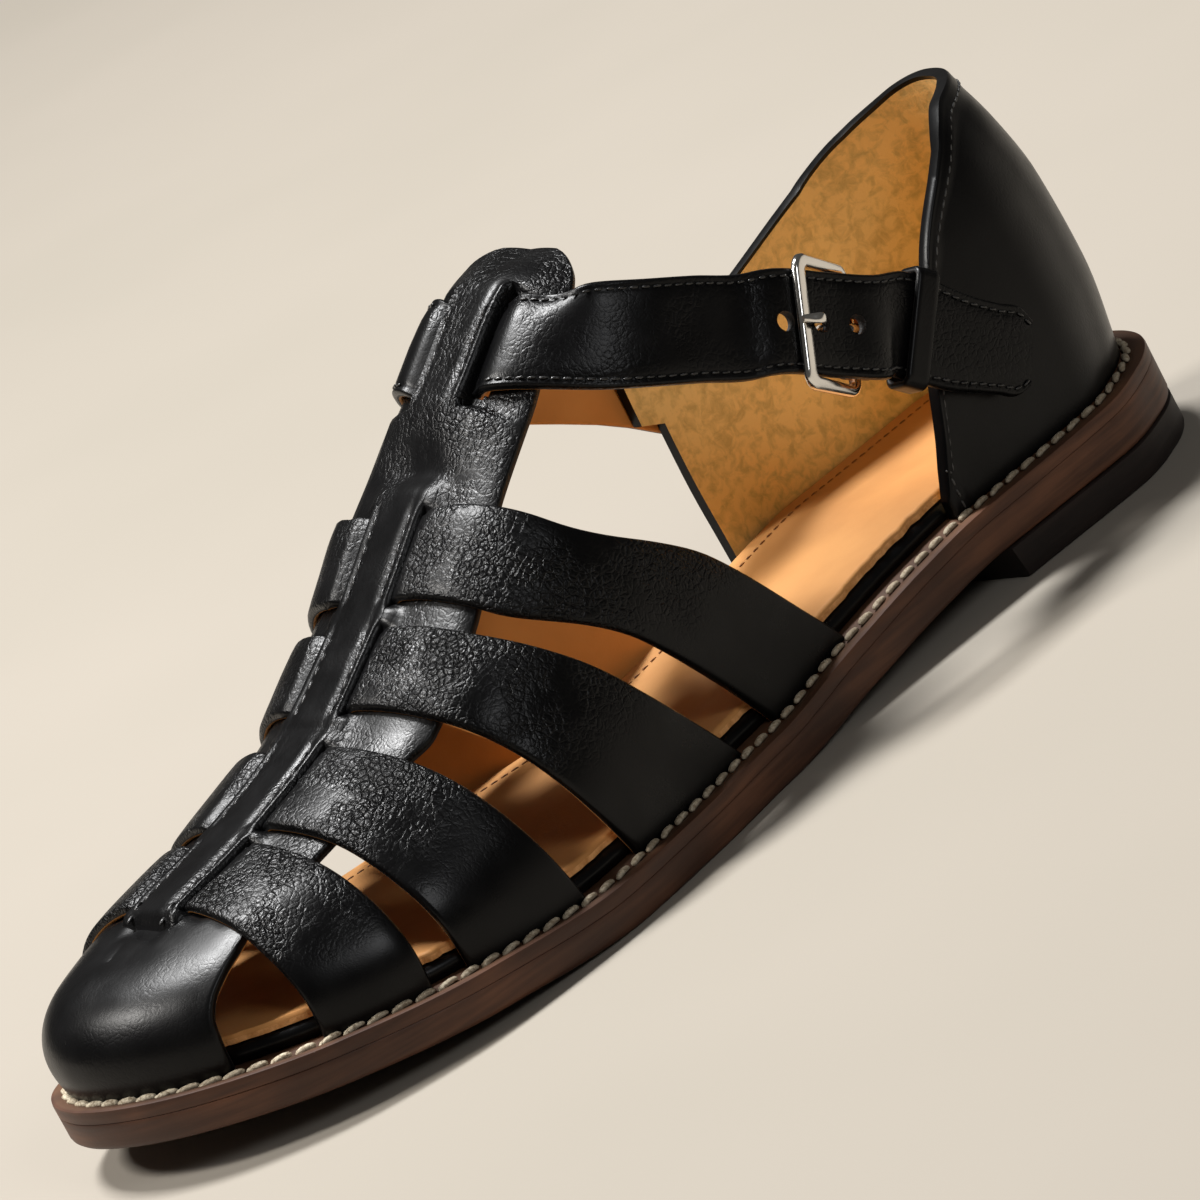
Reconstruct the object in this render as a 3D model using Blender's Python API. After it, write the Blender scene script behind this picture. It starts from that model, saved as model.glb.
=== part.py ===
"""Fisherman sandal, left shoe, EU size 43.

Lengths run forward from the back of the heel, widths run to the wearer's left (the outer side),
heights up from the floor. All sizes are metres. The finished model stands on z = 0 with its
origin under the middle of the heel block.
"""
import math

import bmesh
import bpy
import numpy as np

# Driving sizes of the whole shoe
LENGTH = 0.300
BALL_WIDTH = 0.105
INSTEP_HEIGHT = 0.104
COUNTER_HEIGHT = 0.090
HEEL_HEIGHT = 0.0077
HEEL_LENGTH = 0.0725
TOE_SPRING = 0.0096

# Sole layers
WELT_THICKNESS = 0.0030
FOREPART_STACK = 0.0090
HEEL_STACK = 0.0124
FOOTBED_THICKNESS = 0.0040
INSOLE_THICKNESS = 0.0020
SOLE_EDGE_ROUND = 0.0011
HEEL_BREAST_SLANT = 0.0012

# Leather walls and the room left between pieces
UPPER_WALL = 0.0022
FLANGE_WALL = 0.0020
QUARTER_WALL = 0.0024
CLEARANCE = 0.0003
UPPER_INSET = 0.0080
TOE_INSET = 0.0062
INSOLE_INSET = 0.0097

# Spine and woven straps
BAND_MIDDLE = 0.0035
BAND_HALF_WIDTH = 0.0087
BAND_RAISE = 0.0021
BAND_VALLEY = 0.5
BAND_SHOULDER = 0.8
STEP_WIDTH = 0.0002
SPINE_SINK = 0.0005
BAND_RAMP = 0.012
SLIT_RAMP = 0.028
STRAP_RAISE = 0.0042
STRAP_DIP = 0.0030
STRAP_LIFT = 0.0010
STRAP_STEP = 0.0038
SLIT_WIDTH = 0.0045
SLIT_END = 0.005

# Ankle strap, its tab, keeper and buckle
ANKLE_STRAP_WIDTH = 0.0218
ANKLE_STRAP_THICKNESS = 0.0024
HOLE_DIAMETER = 0.0042
HOLE_PITCH = 0.0093
HOLE_PLACE = 0.0053
TAB_WIDTH = 0.0190
TAB_THICKNESS = 0.0018
TAB_STRAIGHT = 0.0010
TAB_UNDER = 0.0016
KEEPER_WIDTH = 0.0056
KEEPER_WALL = 0.0014
KEEPER_CORNER = 0.0010
KEEPER_FORWARD = 0.0022
BUCKLE_LENGTH = 0.0170
BUCKLE_CORNER = 0.0024
BAR_RADIUS = 0.0012
FRONT_BAR_WIDTH = 0.0036
FRONT_BAR_THICKNESS = 0.0020
PRONG_WIDTH = 0.0023
PRONG_THICKNESS = 0.0015


def table(names, *rows):
    """Columns of a table by name, each one an array with a value for every row."""
    return dict(zip(names.split(), np.array(rows, dtype=float).T))


# Plan of the sole: place along the length, outer and inner edge as shares of the ball width
OUTLINE = table(
    "place outer inner",
    (0.00, 0.000, 0.000),
    (0.02, 0.175, -0.165),
    (0.06, 0.272, -0.268),
    (0.12, 0.336, -0.338),
    (0.25, 0.346, -0.334),
    (0.40, 0.371, -0.296),
    (0.50, 0.417, -0.316),
    (0.60, 0.483, -0.380),
    (0.70, 0.523, -0.440),
    (0.80, 0.503, -0.474),
    (0.90, 0.394, -0.430),
    (0.96, 0.236, -0.340),
    (1.00, -0.086, -0.086),
)

# Underside of the sole: lift as a share of the heel height, spring as a share of the toe spring,
# and how much of the heel's extra thickness is left
PROFILE = table(
    "place lift spring heel_stack",
    (0.00, 1.00, 0.00, 1.00),
    (0.25, 1.00, 0.00, 0.36),
    (0.32, 0.80, 0.00, 0.32),
    (0.40, 0.42, 0.00, 0.26),
    (0.50, 0.00, 0.00, 0.17),
    (0.68, 0.00, 0.00, 0.05),
    (0.80, 0.00, 0.30, 0.00),
    (0.90, 0.00, 0.63, 0.00),
    (1.00, 0.00, 1.00, 0.00),
)

# Ridge of the foot's form: sideways as a share of the ball width, height of the instep height
RIDGE = table(
    "place sideways height",
    (0.380, -0.029, 1.039),
    (0.440, -0.038, 1.000),
    (0.500, -0.043, 0.896),
    (0.580, -0.048, 0.752),
    (0.660, -0.048, 0.602),
    (0.740, -0.055, 0.484),
    (0.820, -0.067, 0.421),
    (0.885, -0.081, 0.387),
    (0.925, -0.086, 0.359),
)
FAN_START = 0.76
FAN_POLE = 0.925

# Cross sections of the foot's form: power of the rounded section on each side, and bulge as a
# share of the ball width
SECTION = table(
    "place outer inner bulge",
    (0.30, 3.60, 6.50, 0.000),
    (0.45, 3.60, 6.50, 0.002),
    (0.55, 3.10, 5.20, 0.004),
    (0.63, 2.75, 3.30, 0.005),
    (0.72, 2.50, 2.60, 0.006),
    (0.85, 2.35, 2.35, 0.010),
    (1.00, 2.60, 2.60, 0.019),
)

# Spine: half its width from tongue tip to toe cap, as a share of the ball width
SPINE = table(
    "place half_width",
    (0.398, 0.060),
    (0.401, 0.098),
    (0.407, 0.134),
    (0.415, 0.163),
    (0.427, 0.186),
    (0.450, 0.200),
    (0.493, 0.224),
    (0.567, 0.250),
    (0.633, 0.295),
    (0.707, 0.310),
    (0.733, 0.286),
    (0.810, 0.262),
    (0.900, 0.253),
)
SPINE_TAIL = 0.929

# Rear edge of the toe cap: place at each share of the way from sole to ridge
CAP_EDGE = table(
    "share place",
    (0.00, 0.9560),
    (0.08, 0.9560),
    (0.21, 0.9540),
    (0.29, 0.9475),
    (0.38, 0.9290),
    (0.45, 0.9040),
    (0.52, 0.8850),
    (1.00, 0.8780),
)

# Woven straps: place of the rear and front edge at shares of the way from sole to ridge
STRAPS = {
    "first": table(
        "share rear front",
        (0.00, 0.390, 0.478),
        (0.30, 0.459, 0.544),
        (0.60, 0.552, 0.622),
        (0.86, 0.582, 0.637),
    ),
    "second": table(
        "share rear front",
        (0.00, 0.517, 0.643),
        (0.30, 0.583, 0.675),
        (0.60, 0.639, 0.701),
        (0.86, 0.655, 0.710),
    ),
    "third": table(
        "share rear front",
        (0.00, 0.701, 0.801),
        (0.30, 0.720, 0.806),
        (0.60, 0.733, 0.807),
        (0.86, 0.738, 0.809),
    ),
    "fourth": table(
        "share rear front",
        (0.00, 0.832, 0.907),
        (0.30, 0.829, 0.906),
        (0.60, 0.826, 0.902),
        (0.86, 0.825, 0.901),
    ),
}

# Quarter wall: backward shift as a share of the length, width against the sole's, by height share
QUARTER = table(
    "height back width",
    (0.00, 0.0000, 1.00),
    (0.30, -0.0085, 1.05),
    (0.60, -0.0045, 1.02),
    (0.80, 0.0060, 0.95),
    (1.00, 0.0225, 0.78),
)
QUARTER_FADE = 0.20

# Top edge of the quarter on each side: height as a share of the counter height
OUTER_COLLAR = table(
    "place height",
    (0.030, 1.000),
    (0.065, 0.990),
    (0.100, 0.950),
    (0.145, 0.860),
    (0.180, 0.760),
    (0.205, 0.640),
    (0.230, 0.490),
    (0.248, 0.350),
    (0.262, 0.262),
)
INNER_COLLAR = table(
    "place height",
    (0.000, 1.000),
    (0.015, 0.984),
    (0.030, 0.966),
    (0.065, 0.931),
    (0.100, 0.887),
    (0.145, 0.845),
    (0.200, 0.790),
    (0.245, 0.750),
    (0.280, 0.785),
    (0.310, 0.855),
    (0.336, 0.920),
)
INNER_TAB_START = 0.316

# Ankle strap where it lies on the inner quarter and on the outer quarter: middle line
STRAP_ON_INNER = table(
    "place height",
    (0.242, 0.557),
    (0.265, 0.616),
    (0.288, 0.673),
    (0.311, 0.731),
)
STRAP_ON_OUTER = table(
    "place height width",
    (0.243, 0.664, 1.00),
    (0.226, 0.613, 1.00),
    (0.205, 0.546, 0.93),
    (0.190, 0.508, 0.87),
    (0.178, 0.479, 0.84),
    (0.163, 0.443, 0.80),
    (0.156, 0.426, 0.62),
)
TAB_ON_OUTER = table(
    "place height width",
    (0.243, 0.664, 1.00),
    (0.226, 0.613, 1.00),
    (0.205, 0.546, 1.00),
    (0.190, 0.508, 0.95),
    (0.178, 0.479, 0.75),
)

# Ankle strap between tongue and buckle: middle of its outer face, its lean across and the
# sideways part of its run
STRAP_FREE = table(
    "place sideways height lean aside",
    (0.450, 0.290, 0.907, 0.231, 0.20),
    (0.422, 0.326, 0.863, 0.164, 0.14),
    (0.389, 0.343, 0.814, 0.135, 0.08),
    (0.356, 0.357, 0.763, 0.135, 0.02),
)
FREE_BACK = -0.85
FREE_DOWN = -0.50

# Prong from the rear bar to its tip: way from the hole as a share of the holes' pitch, height as a
# share of the tip's height over the strap's inner face
PRONG = table(
    "from_hole height",
    (0.270, -0.235),
    (0.075, -0.059),
    (-0.054, 0.417),
    (-0.150, 0.800),
    (-0.310, 1.130),
    (-0.570, 1.040),
    (-0.763, 1.000),
)
BUCKLE_PLACE = 0.321
BUCKLE_SIDEWAYS = 0.367
BUCKLE_HEIGHT = 0.711
BUCKLE_RUN = (-0.850, -0.020, -0.525)
BUCKLE_LEAN = 0.12
ANKLE_PLACE = 0.4815
ANKLE_DROP = 0.018

SIDES = {"outer": 1.0, "inner": -1.0}
SIDE_STEPS = 34
HEEL_STEPS = 14
STEP = 0.004


def follow(columns, name, at, key="place"):
    """Value of a column at a place, on a smooth curve that never overshoots its rows."""
    places = columns[key]
    values = columns[name]
    widths = np.diff(places)
    slopes = np.diff(values) / widths
    tangents = np.zeros(len(places))
    tangents[0] = slopes[0]
    tangents[-1] = slopes[-1]
    for i in range(1, len(places) - 1):
        if slopes[i - 1] * slopes[i] > 0:
            before = 2 * widths[i] + widths[i - 1]
            after = widths[i] + 2 * widths[i - 1]
            tangents[i] = (before + after) / (before / slopes[i - 1] + after / slopes[i])
    at = np.clip(at, places[0], places[-1])
    i = np.clip(np.searchsorted(places, at) - 1, 0, len(widths) - 1)
    t = (at - places[i]) / widths[i]
    rise = t * t * (3 - 2 * t)
    leave = t * (1 - t) ** 2 * tangents[i] * widths[i]
    arrive = t * t * (1 - t) * tangents[i + 1] * widths[i]
    return values[i] + (values[i + 1] - values[i]) * rise + leave - arrive


def turn_of(place):
    """Angle that is 0 at the back of the heel and pi at the toe, so both ends come out round."""
    return np.arccos(1 - 2 * np.clip(place, 0, 1))


def place_of(turn):
    return (1 - np.cos(turn)) / 2


OUTLINE["turn"] = turn_of(OUTLINE["place"])


def edge_point(turn, side):
    """Point of the sole's outline."""
    return np.array([LENGTH * place_of(turn), BALL_WIDTH * follow(OUTLINE, side, turn, "turn")])


def inset_point(turn, side, inset):
    """Point of the outline moved inward, square to the edge."""
    at_end = math.sin(turn) < 1e-6
    if at_end:
        along = np.array([0.0, SIDES[side] * math.cos(turn)])
    else:
        back = edge_point(max(turn - STEP, 0), side)
        front = edge_point(min(turn + STEP, math.pi), side)
        along = (front - back) / np.linalg.norm(front - back)
    inward = np.array([along[1], -along[0]]) * SIDES[side]
    return edge_point(turn, side) + inset * inward


def under_height(x):
    """Height of the outsole's underside."""
    place = x / LENGTH
    return HEEL_HEIGHT * follow(PROFILE, "lift", place) + TOE_SPRING * follow(PROFILE, "spring", place)


def welt_top(x):
    extra = (HEEL_STACK - FOREPART_STACK) * follow(PROFILE, "heel_stack", x / LENGTH)
    return under_height(x) + FOREPART_STACK + extra


def welt_bottom(x):
    return welt_top(x) - WELT_THICKNESS


def make_material(name, colour, roughness, metallic=0.0):
    material = bpy.data.materials.new(name)
    material.use_nodes = True
    shader = material.node_tree.nodes["Principled BSDF"]
    shader.inputs["Base Color"].default_value = (*colour, 1.0)
    shader.inputs["Roughness"].default_value = roughness
    shader.inputs["Metallic"].default_value = metallic
    material.diffuse_color = (*colour, 1.0)
    return material


def make_object(name, vertices, faces, material, parent, merge=1e-6):
    """A closed mesh with its faces pointing out."""
    mesh = bpy.data.meshes.new(name)
    mesh.from_pydata([tuple(float(c) for c in v) for v in vertices], [], faces)
    work = bmesh.new()
    work.from_mesh(mesh)
    bmesh.ops.remove_doubles(work, verts=work.verts, dist=merge)
    loose = [v for v in work.verts if not v.link_faces]
    bmesh.ops.delete(work, geom=loose, context="VERTS")
    bmesh.ops.recalc_face_normals(work, faces=work.faces)
    work.to_mesh(mesh)
    work.free()
    mesh.materials.append(material)
    mesh.shade_smooth()
    mesh.set_sharp_from_angle(angle=math.radians(40))
    item = bpy.data.objects.new(name, mesh)
    bpy.context.collection.objects.link(item)
    item.parent = parent
    return item


def add_boolean(item, operation, other):
    modifier = item.modifiers.new(operation.lower() + "_" + other.name, "BOOLEAN")
    modifier.operation = operation
    modifier.solver = "EXACT"
    modifier.object = other
    other.hide_render = True
    other.display_type = "WIRE"


def sole_layer(name, rings, material, parent, turns):
    """A layer between outline rings, bottom to top. Each ring is an inset and a height function.

    A layer that stops before the toe is closed by a straight wall across its front.
    """
    count = len(turns)
    vertices = []
    for side in SIDES:
        for inset, height, forward in rings:
            for turn in turns:
                x, y = inset_point(turn, side, inset)
                share = place_of(turn) / place_of(turns[-1])
                vertices.append((x + forward * share, y, height(x)))
    outer = np.arange(len(rings) * count).reshape(len(rings), count)
    inner = outer + len(rings) * count
    faces = []
    for k in range(len(rings) - 1):
        for rows in (outer, inner):
            for i in range(count - 1):
                faces.append((rows[k, i], rows[k, i + 1], rows[k + 1, i + 1], rows[k + 1, i]))
        faces.append((outer[k, -1], inner[k, -1], inner[k + 1, -1], outer[k + 1, -1]))
    for k in (0, len(rings) - 1):
        for i in range(count - 1):
            faces.append((outer[k, i], outer[k, i + 1], inner[k, i + 1], inner[k, i]))
    return make_object(name, vertices, clean_faces(vertices, faces), material, parent)


def clean_faces(vertices, faces):
    """Faces as plain whole numbers, without those that have shrunk to a line."""
    points = np.array(vertices, dtype=float)
    kept = []
    for face in faces:
        corners = points[list(face)]
        spread = np.cross(corners[2] - corners[0], corners[-1] - corners[1])
        if np.linalg.norm(spread) > 1e-12:
            kept.append(tuple(int(i) for i in face))
    return kept


def sheet(name, low, high, material, parent, present=None, closed=False, seam=False, merge=1e-6):
    """A bent sheet between two grids of points, with holes where cells are not present.

    A closed sheet joins its last row to its first. A seam leaves the last row unwalled, where
    the sheet folds back on itself.
    """
    rows, columns = low.shape[:2]
    row_cells = rows if closed else rows - 1
    if present is None:
        present = np.ones((row_cells, columns - 1), dtype=bool)
    vertices = np.concatenate([low.reshape(-1, 3), high.reshape(-1, 3)])
    below = np.arange(rows * columns).reshape(rows, columns)
    above = below + rows * columns
    faces = []

    def is_present(i, j):
        if closed:
            i %= row_cells
        if seam and i == row_cells:
            return True
        return 0 <= i < row_cells and 0 <= j < columns - 1 and present[i, j]

    for i in range(row_cells):
        after = (i + 1) % rows
        for j in range(columns - 1):
            if not present[i, j]:
                continue
            faces.append((below[i, j], below[i, j + 1], below[after, j + 1], below[after, j]))
            faces.append((above[i, j], above[after, j], above[after, j + 1], above[i, j + 1]))
            for di, dj, a, b in (
                (-1, 0, (i, j), (i, j + 1)),
                (1, 0, (after, j + 1), (after, j)),
                (0, -1, (after, j), (i, j)),
                (0, 1, (i, j + 1), (after, j + 1)),
            ):
                if not is_present(i + di, j + dj):
                    faces.append((below[a], below[b], above[b], above[a]))
    return make_object(name, vertices, clean_faces(vertices, faces), material, parent, merge)


# Foot's form that the front of the upper follows
RIB_POINTS = 41
RIB_ANGLES = np.linspace(0, math.pi / 2, RIB_POINTS)
RIDGE_SHARE = 0.985
FEATHER = table(
    "place inset",
    (0.00, 0.0),
    (0.80, 0.0),
    (0.93, 0.45),
    (1.00, 1.0),
)
ribs = {}


def foot_inset(turn):
    share = follow(FEATHER, "inset", place_of(turn))
    return UPPER_INSET + (TOE_INSET - UPPER_INSET) * share


def foot_root(turn, side):
    """Point where the inside of the upper meets the welt."""
    x, y = inset_point(turn, side, foot_inset(turn))
    return np.array([x, y, welt_top(x) + CLEARANCE])


def ridge_point(turn):
    """Top of the rib that starts at a turn. Ribs near the toe fan out from one pole."""
    place = place_of(turn)
    if place > FAN_START:
        reach = (place - FAN_START) / (1 - FAN_START)
        power = (1 - FAN_START) / (FAN_POLE - FAN_START)
        place = FAN_START + (FAN_POLE - FAN_START) * (1 - (1 - reach) ** power)
    sideways = BALL_WIDTH * follow(RIDGE, "sideways", place)
    return np.array([LENGTH * place, sideways, INSTEP_HEIGHT * follow(RIDGE, "height", place)])


def rib(turn, side):
    """Points of one rib from the welt up to the ridge, and their distance along it."""
    key = (round(float(turn), 6), side)
    if key not in ribs:
        root = foot_root(turn, side)
        top = ridge_point(turn)
        place = place_of(turn)
        power = follow(SECTION, side, place)
        bulge = BALL_WIDTH * follow(SECTION, "bulge", place)
        inward = 1 - np.cos(RIB_ANGLES) ** (2 / power)
        upward = np.sin(RIB_ANGLES) ** (2 / power)
        points = root + (top - root) * np.stack([inward, inward, upward], axis=1)
        outward = (root - top)[:2] / np.linalg.norm((root - top)[:2])
        points[:, :2] += np.outer(bulge * np.sin(np.pi * np.clip(upward, 0, 1)), outward)
        steps = np.linalg.norm(np.diff(points, axis=0), axis=1)
        ribs[key] = (points, np.concatenate([[0.0], np.cumsum(steps)]))
    return ribs[key]


def rib_point(turn, side, share):
    points, distance = rib(turn, side)
    at = share * distance[-1]
    return np.array([np.interp(at, distance, points[:, axis]) for axis in range(3)])


def rib_normal(turn, side, share):
    back = max(turn - STEP, 0)
    front = min(turn + STEP, math.pi)
    share = min(share, RIDGE_SHARE)
    along = rib_point(front, side, share) - rib_point(back, side, share)
    upward = rib_point(turn, side, min(share + STEP, 1)) - rib_point(turn, side, max(share - STEP, 0))
    normal = np.cross(upward, along) * SIDES[side]
    return normal / np.linalg.norm(normal)


def upper_point(place, across, offset):
    """Point over the foot's form. Across runs from 1 at the outer edge to -1 at the inner edge."""
    turn = float(turn_of(place))
    share = 1 - abs(across)
    side = "outer" if across >= 0 else "inner"
    normal = rib_normal(turn, side, share)
    if share > RIDGE_SHARE:
        normal = rib_normal(turn, "outer", share) + rib_normal(turn, "inner", share)
        normal /= np.linalg.norm(normal)
    point = rib_point(turn, side, share) + offset * normal
    if share < 1e-6:
        point[2] = welt_top(point[0]) + CLEARANCE
    return point


def rib_length(place, side):
    return rib(float(turn_of(place)), side)[1][-1]


def spine_point(place, distance, offset):
    """Point over the foot's form at a distance from the band's middle line, along the rib."""
    distance += BAND_MIDDLE
    side = "outer" if distance >= 0 else "inner"
    return upper_point(place, distance / rib_length(place, side), offset)


def strap_edges(name, share):
    """Places of a woven strap's two edges at a share of the way up."""
    rows = STRAPS[name]
    return follow(rows, "rear", share, "share"), follow(rows, "front", share, "share")


def toe_cap(material, parent):
    columns = np.concatenate([np.linspace(1, 0, 11), np.linspace(0, -1, 11)[1:]])
    steps = (0.0, 0.16, 0.32, 0.48, 0.62, 0.74, 0.84, 0.92, 0.97, 1.0)
    low = np.zeros((len(steps), len(columns), 3))
    high = np.zeros_like(low)
    for i, step in enumerate(steps):
        for j, across in enumerate(columns):
            start = turn_of(follow(CAP_EDGE, "place", 1 - abs(across), "share"))
            turn = start + (math.pi - start) * step
            place = place_of(turn)
            low[i, j] = upper_point(place, across, 0)
            high[i, j] = upper_point(place, across, UPPER_WALL)
    # The foremost row folds onto itself, so both of its halves take the mean of the two sides
    for grid in (low, high):
        grid[-1] = (grid[-1] + grid[-1, ::-1]) / 2
    return sheet("upper_front", low, high, material, parent, seam=True, merge=2e-5)


def band_raise(place):
    """How far the band stands up: 1 over a woven strap, lower between two, 0 beyond them."""
    edges = [strap_edges(name, 1.0) for name in STRAPS]
    gap = min(max(rear - place, place - front, 0.0) for rear, front in edges)
    between = edges[0][0] < place < edges[-1][1]
    valley, ramp = (BAND_VALLEY, BAND_RAMP) if between else (0.0, SLIT_RAMP)
    return valley + (1 - valley) * max(1 - gap / ramp, 0.0)


def slit_share(place):
    """1 where the band's edges are slit for a strap, 0 where they run smoothly into the flanges."""
    edges = [strap_edges(name, 1.0) for name in STRAPS] + [ankle_slit()]
    gap = min(max(rear - place, place - front, 0.0) for rear, front in edges)
    return max(1 - gap / SLIT_END, 0.0)


def ankle_middle(distance):
    """Place of the ankle strap's middle line at a distance from the ridge."""
    half = BALL_WIDTH * follow(SPINE, "half_width", ANKLE_PLACE)
    return ANKLE_PLACE - ANKLE_DROP * (distance / half) ** 2


def ankle_slit():
    """Places of the rear and front end of the slits for the ankle strap."""
    half = (ANKLE_STRAP_WIDTH / 2 + 2 * CLEARANCE) / LENGTH / ridge_stretch(ANKLE_PLACE)
    return ankle_middle(BAND_HALF_WIDTH + SLIT_WIDTH) - half, ANKLE_PLACE + half


def ridge_stretch(place):
    """Length along the ridge for a unit of length along the floor."""
    step = 0.01
    rise = INSTEP_HEIGHT * (follow(RIDGE, "height", place + step) - follow(RIDGE, "height", place - step))
    return math.hypot(1, rise / (2 * step * LENGTH))


def spine(material, parent):
    """Band and side flanges from the tongue's tip to the toe cap, with the ankle strap's slits."""
    rear, front = ankle_slit()
    marks = list(SPINE["place"][:5])
    marks += [rear - SLIT_END, rear, (rear + front) / 2, front, front + SLIT_END, front + SLIT_RAMP]
    for name in STRAPS:
        strap_rear, strap_front = strap_edges(name, 1.0)
        marks += [strap_rear - SLIT_END, strap_rear, (strap_rear + strap_front) / 2, strap_front]
    marks += [strap_front + SLIT_END, (strap_front + SPINE_TAIL) / 2, SPINE_TAIL]
    low = []
    high = []
    for place in marks:
        half = BALL_WIDTH * follow(SPINE, "half_width", place)
        edge = min(BAND_HALF_WIDTH, 0.6 * half)
        slit = min(edge + SLIT_WIDTH, 0.85 * half)
        gap = max(rear - place, place - front, 0.0)
        tunnel = max(1 - gap / SLIT_RAMP, 0.0) * (ANKLE_STRAP_THICKNESS + 4 * CLEARANCE)
        rise = tunnel + BAND_RAISE * band_raise(place)
        shoulder = BAND_SHOULDER * rise * (1 - slit_share(place))
        sink = SPINE_SINK * (place == SPINE_TAIL)
        tops = ((half, 0), ((half + slit) / 2, 0), (slit, 0), (edge + STEP_WIDTH, shoulder))
        tops += ((edge, rise), (edge / 2, rise))
        tops += ((0.0, rise),) + tuple((-distance, top) for distance, top in tops[::-1])
        low_row = []
        high_row = []
        for distance, top in tops:
            bottom = tunnel if abs(distance) <= edge else 0.0
            low_row.append(spine_point(place, distance, bottom + sink))
            high_row.append(spine_point(place, distance, FLANGE_WALL + top - sink))
        low.append(low_row)
        high.append(high_row)
    columns = len(tops)
    present = np.ones((len(marks) - 1, columns - 1), dtype=bool)
    for i in range(len(marks) - 1):
        if rear - 1e-6 < (marks[i] + marks[i + 1]) / 2 < front + 1e-6:
            present[i, [2, 3, columns - 5, columns - 4]] = False
    return sheet("spine", np.array(low), np.array(high), material, parent, present)


def woven_strap(name, material, parent):
    """One strap from welt to welt, over the flanges and under the band."""
    middle = float(np.mean(strap_edges(name, 0.7)))
    flange = BALL_WIDTH * follow(SPINE, "half_width", middle) + STRAP_STEP
    band = BAND_HALF_WIDTH + STRAP_STEP
    low = []
    high = []
    for side, sign in SIDES.items():
        length = rib_length(middle, side)
        shift = sign * BAND_MIDDLE
        free = list(np.linspace(length, flange + shift, 9))
        laid = [flange + shift - 1.2 * STRAP_STEP, (flange + band) / 2 + shift]
        dip = [band + shift, band + shift - 0.7 * STRAP_STEP, band + shift - 1.5 * STRAP_STEP]
        distances = free + laid + dip
        if side == "outer":
            distances.append(0.0)
        else:
            distances = distances[::-1]
        for distance in distances:
            from_band = distance - shift
            over = np.clip((flange - from_band) / STRAP_STEP, 0, 1)
            under = np.clip((band - from_band) / STRAP_STEP, 0, 1)
            bottom = STRAP_LIFT * over
            top = UPPER_WALL + (STRAP_RAISE - UPPER_WALL) * over - (STRAP_RAISE - STRAP_DIP) * under
            rear, front = strap_edges(name, 1 - distance / length)
            places = np.linspace(rear, front, 4)
            across = sign * distance / length
            low.append([upper_point(p, across, bottom) for p in places])
            high.append([upper_point(p, across, top) for p in places])
    return sheet("strap_" + name, np.array(low), np.array(high), material, parent)


def quarter_height(share):
    return HEEL_HEIGHT + HEEL_STACK + CLEARANCE + share * (COUNTER_HEIGHT - HEEL_HEIGHT - HEEL_STACK)


def quarter_share(z):
    return (z - quarter_height(0)) / (quarter_height(1) - quarter_height(0))


def quarter_point(turn, side, share):
    """Point on the inside of the quarter at a share of the counter's height."""
    x, y, z = foot_root(turn, side)
    fade = (1 + math.cos(math.pi * min(x / LENGTH / QUARTER_FADE, 1))) / 2
    shift = LENGTH * follow(QUARTER, "back", share, "height") * fade
    width = follow(QUARTER, "width", share, "height")
    base = min(max(share, 0) * 8, 1)
    level = quarter_height(share) + (z - quarter_height(0)) * (1 - base)
    return np.array([x + shift, y * width, level])


def quarter_normal(turn, side, share):
    along = quarter_point(turn + STEP, side, share) - quarter_point(max(turn - STEP, 0), side, share)
    upward = quarter_point(turn, side, share + STEP) - quarter_point(turn, side, share - STEP)
    normal = np.cross(upward, along) * SIDES[side]
    return normal / np.linalg.norm(normal)


def quarter_outside(place, z, side, offset):
    """Point over the quarter's inside at a place and height, offset outward."""
    share = quarter_share(z)
    turns = np.linspace(turn_of(0.08), turn_of(0.42), 30)
    xs = [quarter_point(t, side, share)[0] for t in turns]
    turn = float(np.interp(place * LENGTH, xs, turns))
    return quarter_point(turn, side, share) + offset * quarter_normal(turn, side, share)


def quarter(material, parent):
    """Heel counter and both sides, with the inner side's tab for the ankle strap."""
    outer_places = (0.262, 0.255, 0.248, 0.239, 0.230, 0.218, 0.205, 0.180, 0.150, 0.115, 0.080, 0.050)
    inner_places = (0.050, 0.080, 0.115, 0.150, 0.185, 0.220, 0.250, 0.275, 0.296, INNER_TAB_START, 0.336)
    heel_turns = np.linspace(turn_of(0.028), 0, 6)
    stations = [(float(turn_of(p)), "outer") for p in outer_places]
    stations += [(float(t), "outer") for t in heel_turns]
    stations += [(float(t), "inner") for t in heel_turns[::-1][1:]]
    stations += [(float(turn_of(p)), "inner") for p in inner_places]
    shares = np.linspace(0, 1, 8)
    low = np.zeros((len(stations), len(shares), 3))
    high = np.zeros_like(low)
    present = np.ones((len(stations) - 1, len(shares) - 1), dtype=bool)
    for i, (turn, side) in enumerate(stations):
        collar = OUTER_COLLAR if side == "outer" else INNER_COLLAR
        top = COUNTER_HEIGHT * follow(collar, "height", place_of(turn))
        for j, share in enumerate(shares * quarter_share(top)):
            inside = quarter_point(turn, side, share)
            low[i, j] = inside
            high[i, j] = inside + QUARTER_WALL * quarter_normal(turn, side, share)
        high[i, 0, 2] = max(high[i, 0, 2], low[i, 0, 2])
    present[-1, : len(shares) // 2] = False
    return sheet("quarter", low, high, material, parent, present)


def unit(vector):
    return vector / np.linalg.norm(vector)


def buckle_frame_axes():
    """Middle of the strap's inner face under the front bar, and the directions along, across and out."""
    run = unit(np.array(BUCKLE_RUN))
    lean = np.array([0.0, -BUCKLE_LEAN, 1.0])
    across = unit(lean - run * lean.dot(run))
    out = np.cross(run, across)
    face = np.array([LENGTH * BUCKLE_PLACE, BALL_WIDTH * BUCKLE_SIDEWAYS, INSTEP_HEIGHT * BUCKLE_HEIGHT])
    return face - ANKLE_STRAP_THICKNESS * out, run, across, out


def at_buckle(along, across, out):
    start, run, side, outward = buckle_frame_axes()
    return start + along * run + across * side + out * outward


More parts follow.
